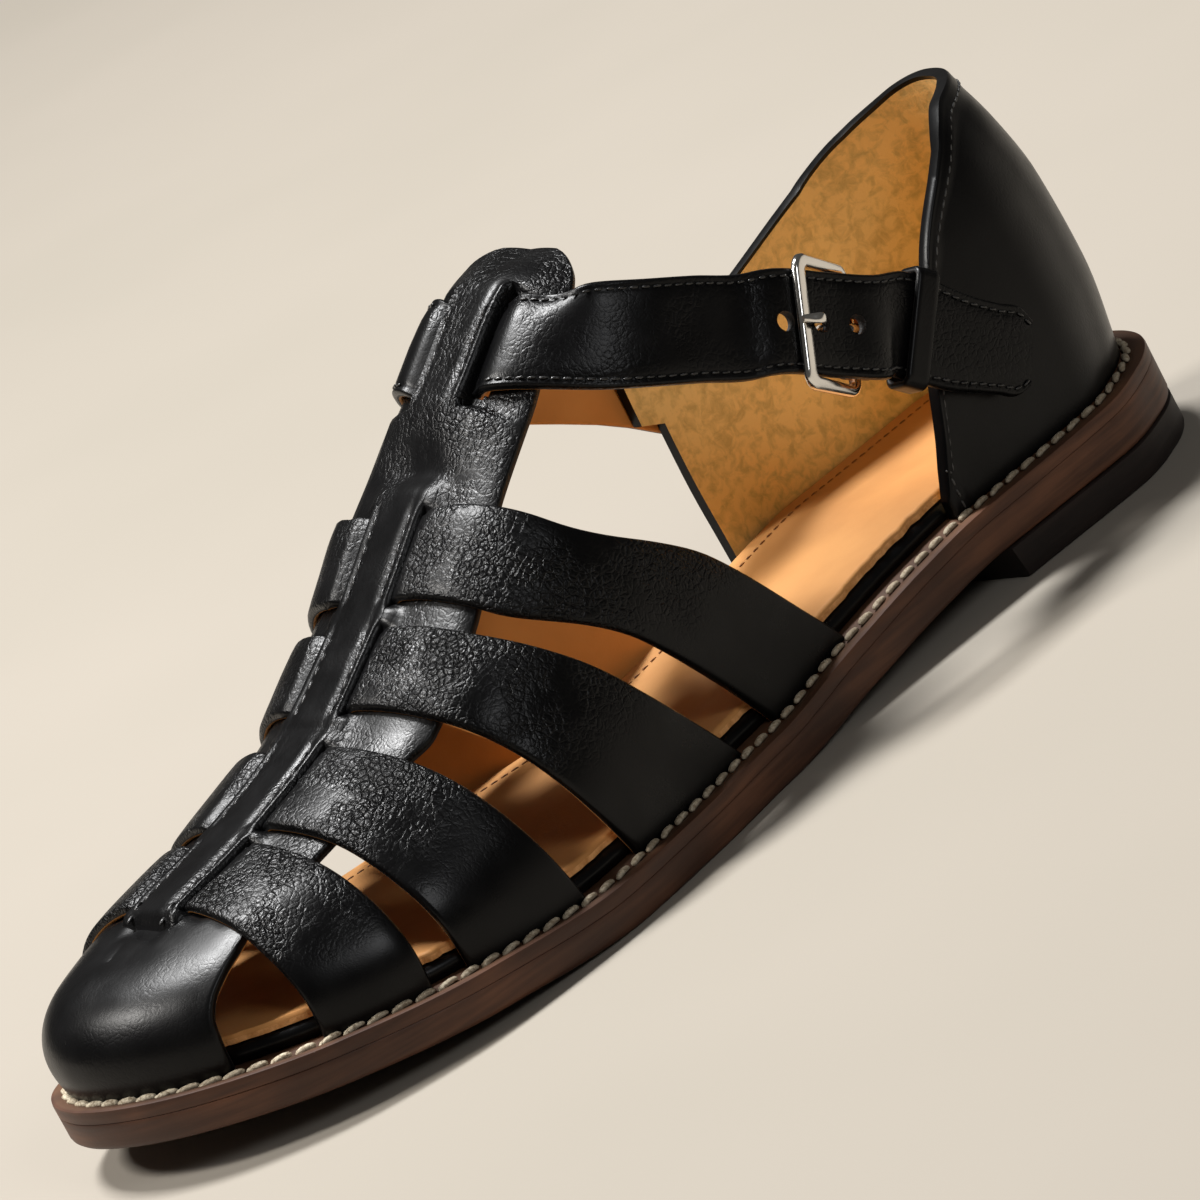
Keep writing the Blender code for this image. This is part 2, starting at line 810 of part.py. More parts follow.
def across_rows(middles, widths, columns=(0.5, 0.25, 0.0, -0.25, -0.5)):
    """Places and heights of points across a strap that follows a line on the quarter."""
    middles = np.array(middles) * np.array([LENGTH, COUNTER_HEIGHT])
    runs = np.gradient(middles, axis=0)
    rows = []
    for middle, run, width in zip(middles, runs, widths):
        square = unit(np.array([-run[1], run[0]])) * np.sign(run[0])
        rows.append([middle + square * width * c for c in columns])
    return rows


def on_quarter(rows, side, offset):
    return [[quarter_outside(x / LENGTH, z, side, QUARTER_WALL + offset) for x, z in row] for row in rows]


def stack_offset():
    """Height of the ankle strap's inner face over the outer quarter, with the tab between."""
    return TAB_THICKNESS + 2 * CLEARANCE


def ankle_strap(material, parent):
    """Strap from the inner quarter, through the tongue, to the buckle and its own tip."""
    thick = ANKLE_STRAP_THICKNESS
    columns = np.linspace(0.5, -0.5, 5)
    low = []
    high = []
    lines = line_of(STRAP_ON_INNER)
    rows = across_rows(lines, [ANKLE_STRAP_WIDTH] * len(lines))
    low += on_quarter(rows, "inner", CLEARANCE)
    high += on_quarter(rows, "inner", CLEARANCE + thick)
    half = BALL_WIDTH * follow(SPINE, "half_width", ANKLE_PLACE)
    inside = BAND_HALF_WIDTH + STEP_WIDTH / 2
    outside = BAND_HALF_WIDTH + SLIT_WIDTH + CLEARANCE
    over = FLANGE_WALL + 2 * CLEARANCE
    lifts = ((half, over), ((half + outside) / 2, over), (outside, over), (inside, CLEARANCE))
    lifts = [(-d, lift) for d, lift in lifts] + [(0.0, CLEARANCE)] + [(d, lift) for d, lift in lifts[::-1]]
    spread = ANKLE_STRAP_WIDTH / LENGTH / ridge_stretch(ANKLE_PLACE)
    for distance, lift in lifts:
        places = [ankle_middle(distance) - spread * c for c in columns]
        low.append([spine_point(p, distance, lift) for p in places])
        high.append([spine_point(p, distance, lift + thick) for p in places])
    for i, place in enumerate(STRAP_FREE["place"]):
        middle = np.array([
            LENGTH * place,
            BALL_WIDTH * STRAP_FREE["sideways"][i],
            INSTEP_HEIGHT * STRAP_FREE["height"][i],
        ])
        run = unit(np.array([FREE_BACK, STRAP_FREE["aside"][i], FREE_DOWN]))
        square = np.array([0.0, -STRAP_FREE["lean"][i], 1.0])
        square = unit(square - run * square.dot(run))
        out = np.cross(run, square)
        high.append([middle + square * ANKLE_STRAP_WIDTH * c for c in columns])
        low.append([middle + square * ANKLE_STRAP_WIDTH * c - out * thick for c in columns])
    for along in (HOLE_PLACE - 1.4 * HOLE_PITCH, HOLE_PLACE + 0.5 * HOLE_PITCH, straight_end()):
        low.append([at_buckle(along, ANKLE_STRAP_WIDTH * c, 0) for c in columns])
        high.append([at_buckle(along, ANKLE_STRAP_WIDTH * c, thick) for c in columns])
    widths = ANKLE_STRAP_WIDTH * STRAP_ON_OUTER["width"]
    rows = across_rows(line_of(STRAP_ON_OUTER), widths)
    low += on_quarter(rows, "outer", stack_offset())
    high += on_quarter(rows, "outer", stack_offset() + thick)
    strap = sheet("ankle_strap", np.array(low), np.array(high), material, parent)
    for i in (-1, 0, 1):
        middle = at_buckle(HOLE_PLACE + i * HOLE_PITCH, 0, thick / 2)
        add_boolean(strap, "DIFFERENCE", punch("hole_%d" % (i + 2), middle, material, parent))
    return strap


def punch(name, middle, material, parent, sides=12):
    """Round cutter through the strap, square to its face."""
    run, across, out = buckle_frame_axes()[1:]
    angles = (np.arange(sides) + 0.5) * 2 * math.pi / sides
    ring = [HOLE_DIAMETER / 2 * (run * math.cos(a) + across * math.sin(a)) for a in angles]
    reach = 2 * ANKLE_STRAP_THICKNESS * out
    vertices = [middle + p - reach for p in ring] + [middle + p + reach for p in ring]
    faces = [tuple(range(sides)), tuple(range(sides, 2 * sides))]
    faces += [(i, (i + 1) % sides, (i + 1) % sides + sides, i + sides) for i in range(sides)]
    return make_object(name, vertices, faces, material, parent)


def line_of(rows):
    return list(zip(rows["place"], rows["height"]))


def bar_drop():
    """How far the rear bar's middle lies below the ankle strap's inner face."""
    return BAR_RADIUS + TAB_THICKNESS + 2 * CLEARANCE


def slot_reach():
    """How far the prong's slot reaches from the rear bar's middle."""
    return 1.15 * (BAR_RADIUS + CLEARANCE + TAB_THICKNESS)


def straight_end():
    """Where strap and tab leave the buckle's plane for the quarter, measured from the front bar."""
    return BUCKLE_LENGTH + slot_reach() + TAB_STRAIGHT


def buckle_tab(material, parent):
    """Tab on the outer quarter that folds round the rear bar, with a slot for the prong."""
    near = BAR_RADIUS + CLEARANCE
    far = near + TAB_THICKNESS
    columns = (0.5, 0.12, -0.12, -0.5)
    slot = slot_reach()
    profile = [(slot + TAB_UNDER, -1.0), (slot, -1.0), (0.0, -1.0)]
    profile += [(-math.cos(a), math.sin(a)) for a in np.radians((-60, -30, 0, 30, 60))]
    profile += [(0.0, 1.0), (slot, 1.0), (straight_end() - BUCKLE_LENGTH, 1.0)]
    low = []
    high = []
    for along, out in profile:
        folded = abs(out) < 1
        for grid, radius in ((low, near), (high, far)):
            run = BUCKLE_LENGTH + (along * radius if folded else along)
            grid.append([at_buckle(run, TAB_WIDTH * c, out * radius - bar_drop()) for c in columns])
    rows = across_rows(line_of(TAB_ON_OUTER), TAB_WIDTH * TAB_ON_OUTER["width"], columns)
    low += on_quarter(rows, "outer", CLEARANCE)
    high += on_quarter(rows, "outer", CLEARANCE + TAB_THICKNESS)
    present = np.ones((len(low) - 1, len(columns) - 1), dtype=bool)
    present[1 : len(profile) - 2, 1] = False
    return sheet("buckle_tab", np.array(low), np.array(high), material, parent, present)


def keeper(material, parent):
    """Loop round the ankle strap and its tab, just in front of the quarter."""
    places = LENGTH * STRAP_ON_OUTER["place"]
    heights = COUNTER_HEIGHT * STRAP_ON_OUTER["height"]
    ends = [quarter_outside(places[i] / LENGTH, heights[i], "outer", QUARTER_WALL) for i in (0, 1, 2)]
    run = unit(ends[2] - ends[0])
    middle = ends[1] - KEEPER_FORWARD * run
    row = across_rows(line_of(STRAP_ON_OUTER)[:3], [ANKLE_STRAP_WIDTH] * 3, (0.5, -0.5))[1]
    top, bottom = on_quarter([row], "outer", QUARTER_WALL)[0]
    across = unit((top - bottom) - run * run.dot(top - bottom))
    out = np.cross(run, across)
    room = 1.6 * CLEARANCE
    half = ANKLE_STRAP_WIDTH / 2 + room
    depth = (-0.5 * CLEARANCE, stack_offset() + ANKLE_STRAP_THICKNESS + room)
    corner = KEEPER_CORNER
    corners = (
        (half, depth[0], 1, -1),
        (half, depth[1], 1, 1),
        (-half, depth[1], -1, 1),
        (-half, depth[0], -1, -1),
    )
    low = []
    high = []
    for k, (side, level, a, b) in enumerate(corners):
        for angle in (0, 45, 90):
            turn = math.radians(angle)
            sideways = math.cos(turn) if k % 2 else math.sin(turn)
            outward = math.sin(turn) if k % 2 else math.cos(turn)
            for grid, radius in ((low, corner), (high, corner + KEEPER_WALL)):
                reach = side + a * (radius * sideways - corner)
                rise = level + b * (radius * outward - corner)
                point = middle + across * reach + out * rise
                grid.append([point - run * KEEPER_WIDTH / 2, point + run * KEEPER_WIDTH / 2])
    return sheet("keeper", np.array(low), np.array(high), material, parent, closed=True)


def tube(name, path, radii, material, parent, closed=False, sides=10):
    """Bar along a path. Radii hold the half size in the path's plane and square to it, a pair a point."""
    path = np.array(path)
    strap_across = buckle_frame_axes()[2]
    vertices = []
    count = len(path)
    centre = path.mean(axis=0)
    for i, point in enumerate(path):
        ahead = path[(i + 1) % count] if closed else path[min(i + 1, count - 1)]
        behind = path[i - 1] if closed else path[max(i - 1, 0)]
        run = unit(ahead - behind)
        guide = point - centre if closed else strap_across
        first = unit(guide - run * run.dot(guide))
        second = np.cross(run, first)
        wide, thick = radii[i]
        for angle in np.linspace(0, 2 * math.pi, sides, endpoint=False):
            vertices.append(point + first * wide * math.cos(angle) + second * thick * math.sin(angle))
    faces = []
    for i in range(count if closed else count - 1):
        for j in range(sides):
            a = i * sides + j
            b = i * sides + (j + 1) % sides
            c = (i + 1) % count * sides + (j + 1) % sides
            d = (i + 1) % count * sides + j
            faces.append((a, b, c, d))
    if not closed:
        faces.append(tuple(range(sides)))
        faces.append(tuple(range((count - 1) * sides, count * sides)))
    return make_object(name, vertices, faces, material, parent)


def front_bar_out():
    return ANKLE_STRAP_THICKNESS + CLEARANCE + FRONT_BAR_THICKNESS / 2


def buckle_frame(material, parent):
    """Rectangular frame: flat front bar over the strap, round rear bar inside the tab's fold."""
    half = ANKLE_STRAP_WIDTH / 2 + 2 * CLEARANCE + BAR_RADIUS
    corner = BUCKLE_CORNER
    wide = (FRONT_BAR_WIDTH / 2, FRONT_BAR_THICKNESS / 2)
    front_end = half - corner - BAR_RADIUS
    points = [(0.0, -front_end, wide), (0.0, front_end, wide)]
    for side, along, a, b, start in (
        (half, 0.0, 1, -1, 0),
        (half, BUCKLE_LENGTH, 1, 1, 90),
        (-half, BUCKLE_LENGTH, -1, 1, 0),
        (-half, 0.0, -1, -1, 90),
    ):
        for angle in (0, 30, 60, 90):
            turn = math.radians(abs(start - angle))
            sideways = side - a * corner * (1 - math.sin(turn))
            run = along - b * corner * (1 - math.cos(turn))
            points.append((run, sideways, (BAR_RADIUS, BAR_RADIUS)))
    path = []
    for run, sideways, _ in points:
        share = run / BUCKLE_LENGTH
        path.append(at_buckle(run, sideways, front_bar_out() * (1 - share) - bar_drop() * share))
    return tube("buckle_frame", path, [size for _, _, size in points], material, parent, closed=True)


def buckle_prong(material, parent):
    """Prong looped round the rear bar, up through the strap's hole and onto the front bar."""
    half = PRONG_THICKNESS / 2
    ring = BAR_RADIUS + CLEARANCE + half
    top = front_bar_out() + FRONT_BAR_THICKNESS / 2 + CLEARANCE + half
    path = []
    for angle in (290, 260, 230, 200, 170, 140, 110, 80, 50, 20, 0):
        turn = math.radians(angle)
        path.append((BUCKLE_LENGTH + ring * math.sin(turn), ring * math.cos(turn) - bar_drop()))
    for from_hole, height in zip(PRONG["from_hole"], PRONG["height"]):
        path.append((HOLE_PLACE + HOLE_PITCH * from_hole, top * height))
    points = [at_buckle(along, 0, out) for along, out in path]
    radii = [(PRONG_WIDTH / 2, half)] * len(points)
    return tube("buckle_prong", points, radii, material, parent)


def build():
    for item in list(bpy.data.objects):
        bpy.data.objects.remove(item)
    origin = bpy.data.objects.new("shoe_origin", None)
    bpy.context.collection.objects.link(origin)
    origin.location = (-(HEEL_LENGTH + SOLE_EDGE_ROUND) / 2, 0, 0)
    black = make_material("black_leather", (0.020, 0.019, 0.020), 0.42)
    turns = np.linspace(0, math.pi, SIDE_STEPS)
    brown = make_material("brown_sole_leather", (0.105, 0.042, 0.026), 0.45)
    welt_brown = make_material("brown_welt_leather", (0.120, 0.055, 0.032), 0.50)
    dark = make_material("dark_heel_rubber", (0.030, 0.020, 0.016), 0.60)
    tan = make_material("tan_leather", (0.62, 0.27, 0.07), 0.48)
    rounding = SOLE_EDGE_ROUND
    sole_layer("outsole", [
        (rounding, under_height, 0),
        (0.2 * rounding, lambda x: under_height(x) + rounding, 0),
        (0, lambda x: (under_height(x) + welt_bottom(x)) / 2, 0),
        (0.2 * rounding, lambda x: welt_bottom(x) - CLEARANCE, 0),
    ], brown, origin, turns)
    sole_layer("welt", [
        (0.4 * rounding, welt_bottom, 0),
        (0, lambda x: (welt_bottom(x) + welt_top(x)) / 2, 0),
        (0.7 * rounding, welt_top, 0),
    ], welt_brown, origin, turns)
    heel_turns = np.linspace(0, turn_of(HEEL_LENGTH / LENGTH), HEEL_STEPS)
    sole_layer("heel", [
        (0.6 * rounding, lambda x: 0, 0),
        (0, lambda x: rounding, HEEL_BREAST_SLANT * 0.2),
        (0, lambda x: HEEL_HEIGHT - CLEARANCE, HEEL_BREAST_SLANT),
    ], dark, origin, heel_turns)
    rim = UPPER_INSET + CLEARANCE
    sole_layer("footbed", [
        (rim + rounding, lambda x: welt_top(x) + CLEARANCE, 0),
        (rim, lambda x: welt_top(x) + 0.4 * FOOTBED_THICKNESS, 0),
        (rim + 0.3 * rounding, lambda x: welt_top(x) + 0.8 * FOOTBED_THICKNESS, 0),
        (rim + rounding, lambda x: welt_top(x) + FOOTBED_THICKNESS, 0),
    ], black, origin, turns)
    insole_bottom = FOOTBED_THICKNESS + CLEARANCE
    sole_layer("insole", [
        (INSOLE_INSET, lambda x: welt_top(x) + insole_bottom, 0),
        (INSOLE_INSET, lambda x: welt_top(x) + insole_bottom + 0.7 * INSOLE_THICKNESS, 0),
        (INSOLE_INSET + 0.5 * rounding, lambda x: welt_top(x) + insole_bottom + INSOLE_THICKNESS, 0),
    ], tan, origin, turns)
    cap = toe_cap(black, origin)
    add_boolean(cap, "UNION", spine(black, origin))
    for name in STRAPS:
        add_boolean(cap, "UNION", woven_strap(name, black, origin))
    quarter(black, origin)
    ankle_strap(black, origin)
    buckle_tab(black, origin)
    keeper(black, origin)
    nickel = make_material("polished_nickel", (0.72, 0.70, 0.67), 0.16, 1.0)
    buckle_frame(nickel, origin)
    buckle_prong(nickel, origin)


build()
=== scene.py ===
"""Looks of the left fisherman sandal: leather, linings, stitches, metal, light and camera.

The sizes and the foot's form are those of the solids. Lengths run forward from the back of the
heel, widths to the wearer's left, heights up from the floor, all in metres.
"""
import bisect
import math

import bmesh
import bpy
import numpy as np
from mathutils import Matrix, Vector, noise


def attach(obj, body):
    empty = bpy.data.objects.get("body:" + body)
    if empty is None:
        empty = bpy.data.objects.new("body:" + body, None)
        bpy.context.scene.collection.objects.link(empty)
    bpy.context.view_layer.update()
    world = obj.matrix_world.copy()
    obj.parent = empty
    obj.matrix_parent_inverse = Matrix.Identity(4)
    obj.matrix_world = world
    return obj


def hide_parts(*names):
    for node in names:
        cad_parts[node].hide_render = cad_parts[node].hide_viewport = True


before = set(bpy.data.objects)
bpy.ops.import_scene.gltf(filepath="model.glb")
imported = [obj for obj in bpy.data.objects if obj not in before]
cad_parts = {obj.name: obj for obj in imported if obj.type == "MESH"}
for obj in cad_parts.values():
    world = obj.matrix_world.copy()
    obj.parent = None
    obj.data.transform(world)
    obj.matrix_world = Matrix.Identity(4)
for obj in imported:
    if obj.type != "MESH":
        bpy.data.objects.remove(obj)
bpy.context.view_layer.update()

# Sizes of the shoe, as in its solids
LENGTH = 0.300
BALL_WIDTH = 0.105
INSTEP_HEIGHT = 0.104
COUNTER_HEIGHT = 0.090
HEEL_HEIGHT = 0.0077
HEEL_LENGTH = 0.0725
TOE_SPRING = 0.0096
WELT_THICKNESS = 0.0030
FOREPART_STACK = 0.0090
HEEL_STACK = 0.0124
FOOTBED_THICKNESS = 0.0040
INSOLE_THICKNESS = 0.0020
SOLE_EDGE_ROUND = 0.0011
HEEL_BREAST_SLANT = 0.0012
UPPER_WALL = 0.0022
FLANGE_WALL = 0.0020
QUARTER_WALL = 0.0024
CLEARANCE = 0.0003
UPPER_INSET = 0.0080
TOE_INSET = 0.0062
INSOLE_INSET = 0.0097
BAND_MIDDLE = 0.0035
BAND_HALF_WIDTH = 0.0087
BAND_RAISE = 0.0021
BAND_VALLEY = 0.5
BAND_SHOULDER = 0.8
STEP_WIDTH = 0.0002
BAND_RAMP = 0.012
SLIT_RAMP = 0.028
SLIT_WIDTH = 0.0045
SLIT_END = 0.005
ANKLE_STRAP_WIDTH = 0.0218
ANKLE_STRAP_THICKNESS = 0.0024
HOLE_DIAMETER = 0.0042
HOLE_PITCH = 0.0093
HOLE_PLACE = 0.0053
TAB_WIDTH = 0.0190
TAB_THICKNESS = 0.0018
TAB_STRAIGHT = 0.0010
TAB_UNDER = 0.0016
KEEPER_WIDTH = 0.0056
KEEPER_WALL = 0.0014
KEEPER_CORNER = 0.0010
KEEPER_FORWARD = 0.0022
BUCKLE_LENGTH = 0.0170
BUCKLE_CORNER = 0.0024
BAR_RADIUS = 0.0012
FRONT_BAR_WIDTH = 0.0036
FRONT_BAR_THICKNESS = 0.0020
PRONG_WIDTH = 0.0023
PRONG_THICKNESS = 0.0015


def table(names, *rows):
    """Columns of a table by name, each one an array with a value for every row."""
    return dict(zip(names.split(), np.array(rows, dtype=float).T))


OUTLINE = table(
    "place outer inner",
    (0.00, 0.000, 0.000),
    (0.02, 0.175, -0.165),
    (0.06, 0.272, -0.268),
    (0.12, 0.336, -0.338),
    (0.25, 0.346, -0.334),
    (0.40, 0.371, -0.296),
    (0.50, 0.417, -0.316),
    (0.60, 0.483, -0.380),
    (0.70, 0.523, -0.440),
    (0.80, 0.503, -0.474),
    (0.90, 0.394, -0.430),
    (0.96, 0.236, -0.340),
    (1.00, -0.086, -0.086),
)
PROFILE = table(
    "place lift spring heel_stack",
    (0.00, 1.00, 0.00, 1.00),
    (0.25, 1.00, 0.00, 0.36),
    (0.32, 0.80, 0.00, 0.32),
    (0.40, 0.42, 0.00, 0.26),
    (0.50, 0.00, 0.00, 0.17),
    (0.68, 0.00, 0.00, 0.05),
    (0.80, 0.00, 0.30, 0.00),
    (0.90, 0.00, 0.63, 0.00),
    (1.00, 0.00, 1.00, 0.00),
)
RIDGE = table(
    "place sideways height",
    (0.380, -0.029, 1.039),
    (0.440, -0.038, 1.000),
    (0.500, -0.043, 0.896),
    (0.580, -0.048, 0.752),
    (0.660, -0.048, 0.602),
    (0.740, -0.055, 0.484),
    (0.820, -0.067, 0.421),
    (0.885, -0.081, 0.387),
    (0.925, -0.086, 0.359),
)
SECTION = table(
    "place outer inner bulge",
    (0.30, 3.60, 6.50, 0.000),
    (0.45, 3.60, 6.50, 0.002),
    (0.55, 3.10, 5.20, 0.004),
    (0.63, 2.75, 3.30, 0.005),
    (0.72, 2.50, 2.60, 0.006),
    (0.85, 2.35, 2.35, 0.010),
    (1.00, 2.60, 2.60, 0.019),
)
SPINE = table(
    "place half_width",
    (0.398, 0.060),
    (0.401, 0.098),
    (0.407, 0.134),
    (0.415, 0.163),
    (0.427, 0.186),
    (0.450, 0.200),
    (0.493, 0.224),
    (0.567, 0.250),
    (0.633, 0.295),
    (0.707, 0.310),
    (0.733, 0.286),
    (0.810, 0.262),
    (0.900, 0.253),
)
CAP_EDGE = table(
    "share place",
    (0.00, 0.9560),
    (0.08, 0.9560),
    (0.21, 0.9540),
    (0.29, 0.9475),
    (0.38, 0.9290),
    (0.45, 0.9040),
    (0.52, 0.8850),
    (1.00, 0.8780),
)
STRAPS = {
    "first": table(
        "share rear front",
        (0.00, 0.390, 0.478),
        (0.30, 0.459, 0.544),
        (0.60, 0.552, 0.622),
        (0.86, 0.582, 0.637),
    ),
    "second": table(
        "share rear front",
        (0.00, 0.517, 0.643),
        (0.30, 0.583, 0.675),
        (0.60, 0.639, 0.701),
        (0.86, 0.655, 0.710),
    ),
    "third": table(
        "share rear front",
        (0.00, 0.701, 0.801),
        (0.30, 0.720, 0.806),
        (0.60, 0.733, 0.807),
        (0.86, 0.738, 0.809),
    ),
    "fourth": table(
        "share rear front",
        (0.00, 0.832, 0.907),
        (0.30, 0.829, 0.906),
        (0.60, 0.826, 0.902),
        (0.86, 0.825, 0.901),
    ),
}
QUARTER = table(
    "height back width",
    (0.00, 0.0000, 1.00),
    (0.30, -0.0085, 1.05),
    (0.60, -0.0045, 1.02),
    (0.80, 0.0060, 0.95),
    (1.00, 0.0225, 0.78),
)
OUTER_COLLAR = table(
    "place height",
    (0.030, 1.000),
    (0.065, 0.990),
    (0.100, 0.950),
    (0.145, 0.860),
    (0.180, 0.760),
    (0.205, 0.640),
    (0.230, 0.490),
    (0.248, 0.350),
    (0.262, 0.262),
)
INNER_COLLAR = table(
    "place height",
    (0.000, 1.000),
    (0.015, 0.984),
    (0.030, 0.966),
    (0.065, 0.931),
    (0.100, 0.887),
    (0.145, 0.845),
    (0.200, 0.790),
    (0.245, 0.750),
    (0.280, 0.785),
    (0.310, 0.855),
    (0.336, 0.920),
)
STRAP_ON_INNER = table(
    "place height",
    (0.242, 0.557),
    (0.265, 0.616),
    (0.288, 0.673),
    (0.311, 0.731),
)
STRAP_ON_OUTER = table(
    "place height width",
    (0.243, 0.664, 1.00),
    (0.226, 0.613, 1.00),
    (0.205, 0.546, 0.93),
    (0.190, 0.508, 0.87),
    (0.178, 0.479, 0.84),
    (0.163, 0.443, 0.80),
    (0.156, 0.426, 0.62),
)
TAB_ON_OUTER = table(
    "place height width",
    (0.243, 0.664, 1.00),
    (0.226, 0.613, 1.00),
    (0.205, 0.546, 1.00),
    (0.190, 0.508, 0.95),
    (0.178, 0.479, 0.75),
)
STRAP_FREE = table(
    "place sideways height lean aside",
    (0.450, 0.290, 0.907, 0.231, 0.20),
    (0.422, 0.326, 0.863, 0.164, 0.14),
    (0.389, 0.343, 0.814, 0.135, 0.08),
    (0.356, 0.357, 0.763, 0.135, 0.02),
)
PRONG = table(
    "from_hole height",
    (0.270, -0.235),
    (0.075, -0.059),
    (-0.054, 0.417),
    (-0.150, 0.800),
    (-0.310, 1.130),
    (-0.570, 1.040),
    (-0.763, 1.000),
)
FEATHER = table(
    "place inset",
    (0.00, 0.0),
    (0.80, 0.0),
    (0.93, 0.45),
    (1.00, 1.0),
)
FAN_START = 0.76
FAN_POLE = 0.925
FREE_BACK = -0.85
FREE_DOWN = -0.50
QUARTER_FADE = 0.20
INNER_TAB_START = 0.316
BUCKLE_PLACE = 0.321
BUCKLE_SIDEWAYS = 0.367
BUCKLE_HEIGHT = 0.711
BUCKLE_RUN = (-0.850, -0.020, -0.525)
BUCKLE_LEAN = 0.12
ANKLE_PLACE = 0.4815
ANKLE_DROP = 0.018
SIDES = {"outer": 1.0, "inner": -1.0}
STEP = 0.004
RIDGE_SHARE = 0.985
RIB_POINTS = 121
RIB_ANGLES = np.linspace(0, math.pi / 2, RIB_POINTS)
RIB_STEPS = 1256
ribs = {}
tangents_of = {}


def tangents(columns, name, key):
    """Slopes of a column's smooth curve at its rows."""
    token = (id(columns), name)
    if token not in tangents_of:
        widths = np.diff(columns[key])
        slopes = np.diff(columns[name]) / widths
        result = np.zeros(len(slopes) + 1)
        result[0] = slopes[0]
        result[-1] = slopes[-1]
        for i in range(1, len(slopes)):
            if slopes[i - 1] * slopes[i] > 0:
                before = 2 * widths[i] + widths[i - 1]
                after = widths[i] + 2 * widths[i - 1]
                result[i] = (before + after) / (before / slopes[i - 1] + after / slopes[i])
        tangents_of[token] = (columns[key].tolist(), columns[name].tolist(), result.tolist())
    return tangents_of[token]


def follow(columns, name, at, key="place"):
    """Value of a column at a place, on a smooth curve that never overshoots its rows."""
    places, values, slopes = tangents(columns, name, key)
    at = min(max(float(at), places[0]), places[-1])
    i = min(max(bisect.bisect_left(places, at) - 1, 0), len(places) - 2)
    width = places[i + 1] - places[i]
    t = (at - places[i]) / width
    rise = t * t * (3 - 2 * t)
    leave = t * (1 - t) ** 2 * slopes[i] * width
    arrive = t * t * (1 - t) * slopes[i + 1] * width
    return values[i] + (values[i + 1] - values[i]) * rise + leave - arrive


def turn_of(place):
    """Angle that is 0 at the back of the heel and pi at the toe, so both ends come out round."""
    return np.arccos(1 - 2 * np.clip(place, 0, 1))


OUTLINE["turn"] = turn_of(OUTLINE["place"])


def place_of(turn):
    return (1 - np.cos(turn)) / 2


def edge_point(turn, side):
    """Point of the sole's outline."""
    return np.array([LENGTH * place_of(turn), BALL_WIDTH * follow(OUTLINE, side, turn, "turn")])


def inset_point(turn, side, inset):
    """Point of the outline moved inward, square to the edge."""
    at_end = math.sin(turn) < 1e-6
    if at_end:
        along = np.array([0.0, SIDES[side] * math.cos(turn)])
    else:
        back = edge_point(max(turn - STEP, 0), side)
        front = edge_point(min(turn + STEP, math.pi), side)
        along = (front - back) / np.linalg.norm(front - back)
    inward = np.array([along[1], -along[0]]) * SIDES[side]
    return edge_point(turn, side) + inset * inward


def under_height(x):
    """Height of the outsole's underside."""
    place = x / LENGTH
    return HEEL_HEIGHT * follow(PROFILE, "lift", place) + TOE_SPRING * follow(PROFILE, "spring", place)


def welt_top(x):
    extra = (HEEL_STACK - FOREPART_STACK) * follow(PROFILE, "heel_stack", x / LENGTH)
    return under_height(x) + FOREPART_STACK + extra


def welt_bottom(x):
    return welt_top(x) - WELT_THICKNESS


def foot_inset(turn):
    share = follow(FEATHER, "inset", place_of(turn))
    return UPPER_INSET + (TOE_INSET - UPPER_INSET) * share


def foot_root(turn, side):
    """Point where the inside of the upper meets the welt."""
    x, y = inset_point(turn, side, foot_inset(turn))
    return np.array([x, y, welt_top(x) + CLEARANCE])


def ridge_point(turn):
    """Top of the rib that starts at a turn. Ribs near the toe fan out from one pole."""
    place = place_of(turn)
    if place > FAN_START:
        reach = (place - FAN_START) / (1 - FAN_START)
        power = (1 - FAN_START) / (FAN_POLE - FAN_START)
        place = FAN_START + (FAN_POLE - FAN_START) * (1 - (1 - reach) ** power)
    sideways = BALL_WIDTH * follow(RIDGE, "sideways", place)
    return np.array([LENGTH * place, sideways, INSTEP_HEIGHT * follow(RIDGE, "height", place)])


def rib_at(index, side):
    """One of the evenly spaced ribs: points from the welt up to the ridge, and their distances."""
    if (index, side) not in ribs:
        turn = math.pi * index / RIB_STEPS
        root = foot_root(turn, side)
        top = ridge_point(turn)
        place = place_of(turn)
        power = follow(SECTION, side, place)
        bulge = BALL_WIDTH * follow(SECTION, "bulge", place)
        inward = 1 - np.cos(RIB_ANGLES) ** (2 / power)
        upward = np.sin(RIB_ANGLES) ** (2 / power)
        points = root + (top - root) * np.stack([inward, inward, upward], axis=1)
        outward = (root - top)[:2] / np.linalg.norm((root - top)[:2])
        points[:, :2] += np.outer(bulge * np.sin(np.pi * np.clip(upward, 0, 1)), outward)
        steps = np.linalg.norm(np.diff(points, axis=0), axis=1)
        ribs[index, side] = (points, np.concatenate([[0.0], np.cumsum(steps)]))
    return ribs[index, side]


def rib(turn, side):
    """Points of the rib at a turn, and their distances along it."""
    key = (float(turn), side)
    if key not in ribs:
        at = min(max(float(turn), 0), math.pi) / math.pi * RIB_STEPS
        index = min(int(at), RIB_STEPS - 1)
        share = at - index
        pairs = zip(rib_at(index, side), rib_at(index + 1, side))
        ribs[key] = tuple((1 - share) * first + share * second for first, second in pairs)
    return ribs[key]


def rib_point(turn, side, share):
    points, distance = rib(turn, side)
    at = share * distance[-1]
    return np.array([np.interp(at, distance, points[:, axis]) for axis in range(3)])


def rib_normal(turn, side, share):
    back = max(turn - STEP, 0)
    front = min(turn + STEP, math.pi)
    share = min(share, RIDGE_SHARE)
    along = rib_point(front, side, share) - rib_point(back, side, share)
    upward = rib_point(turn, side, min(share + STEP, 1)) - rib_point(turn, side, max(share - STEP, 0))
    normal = np.cross(upward, along) * SIDES[side]
    return normal / np.linalg.norm(normal)


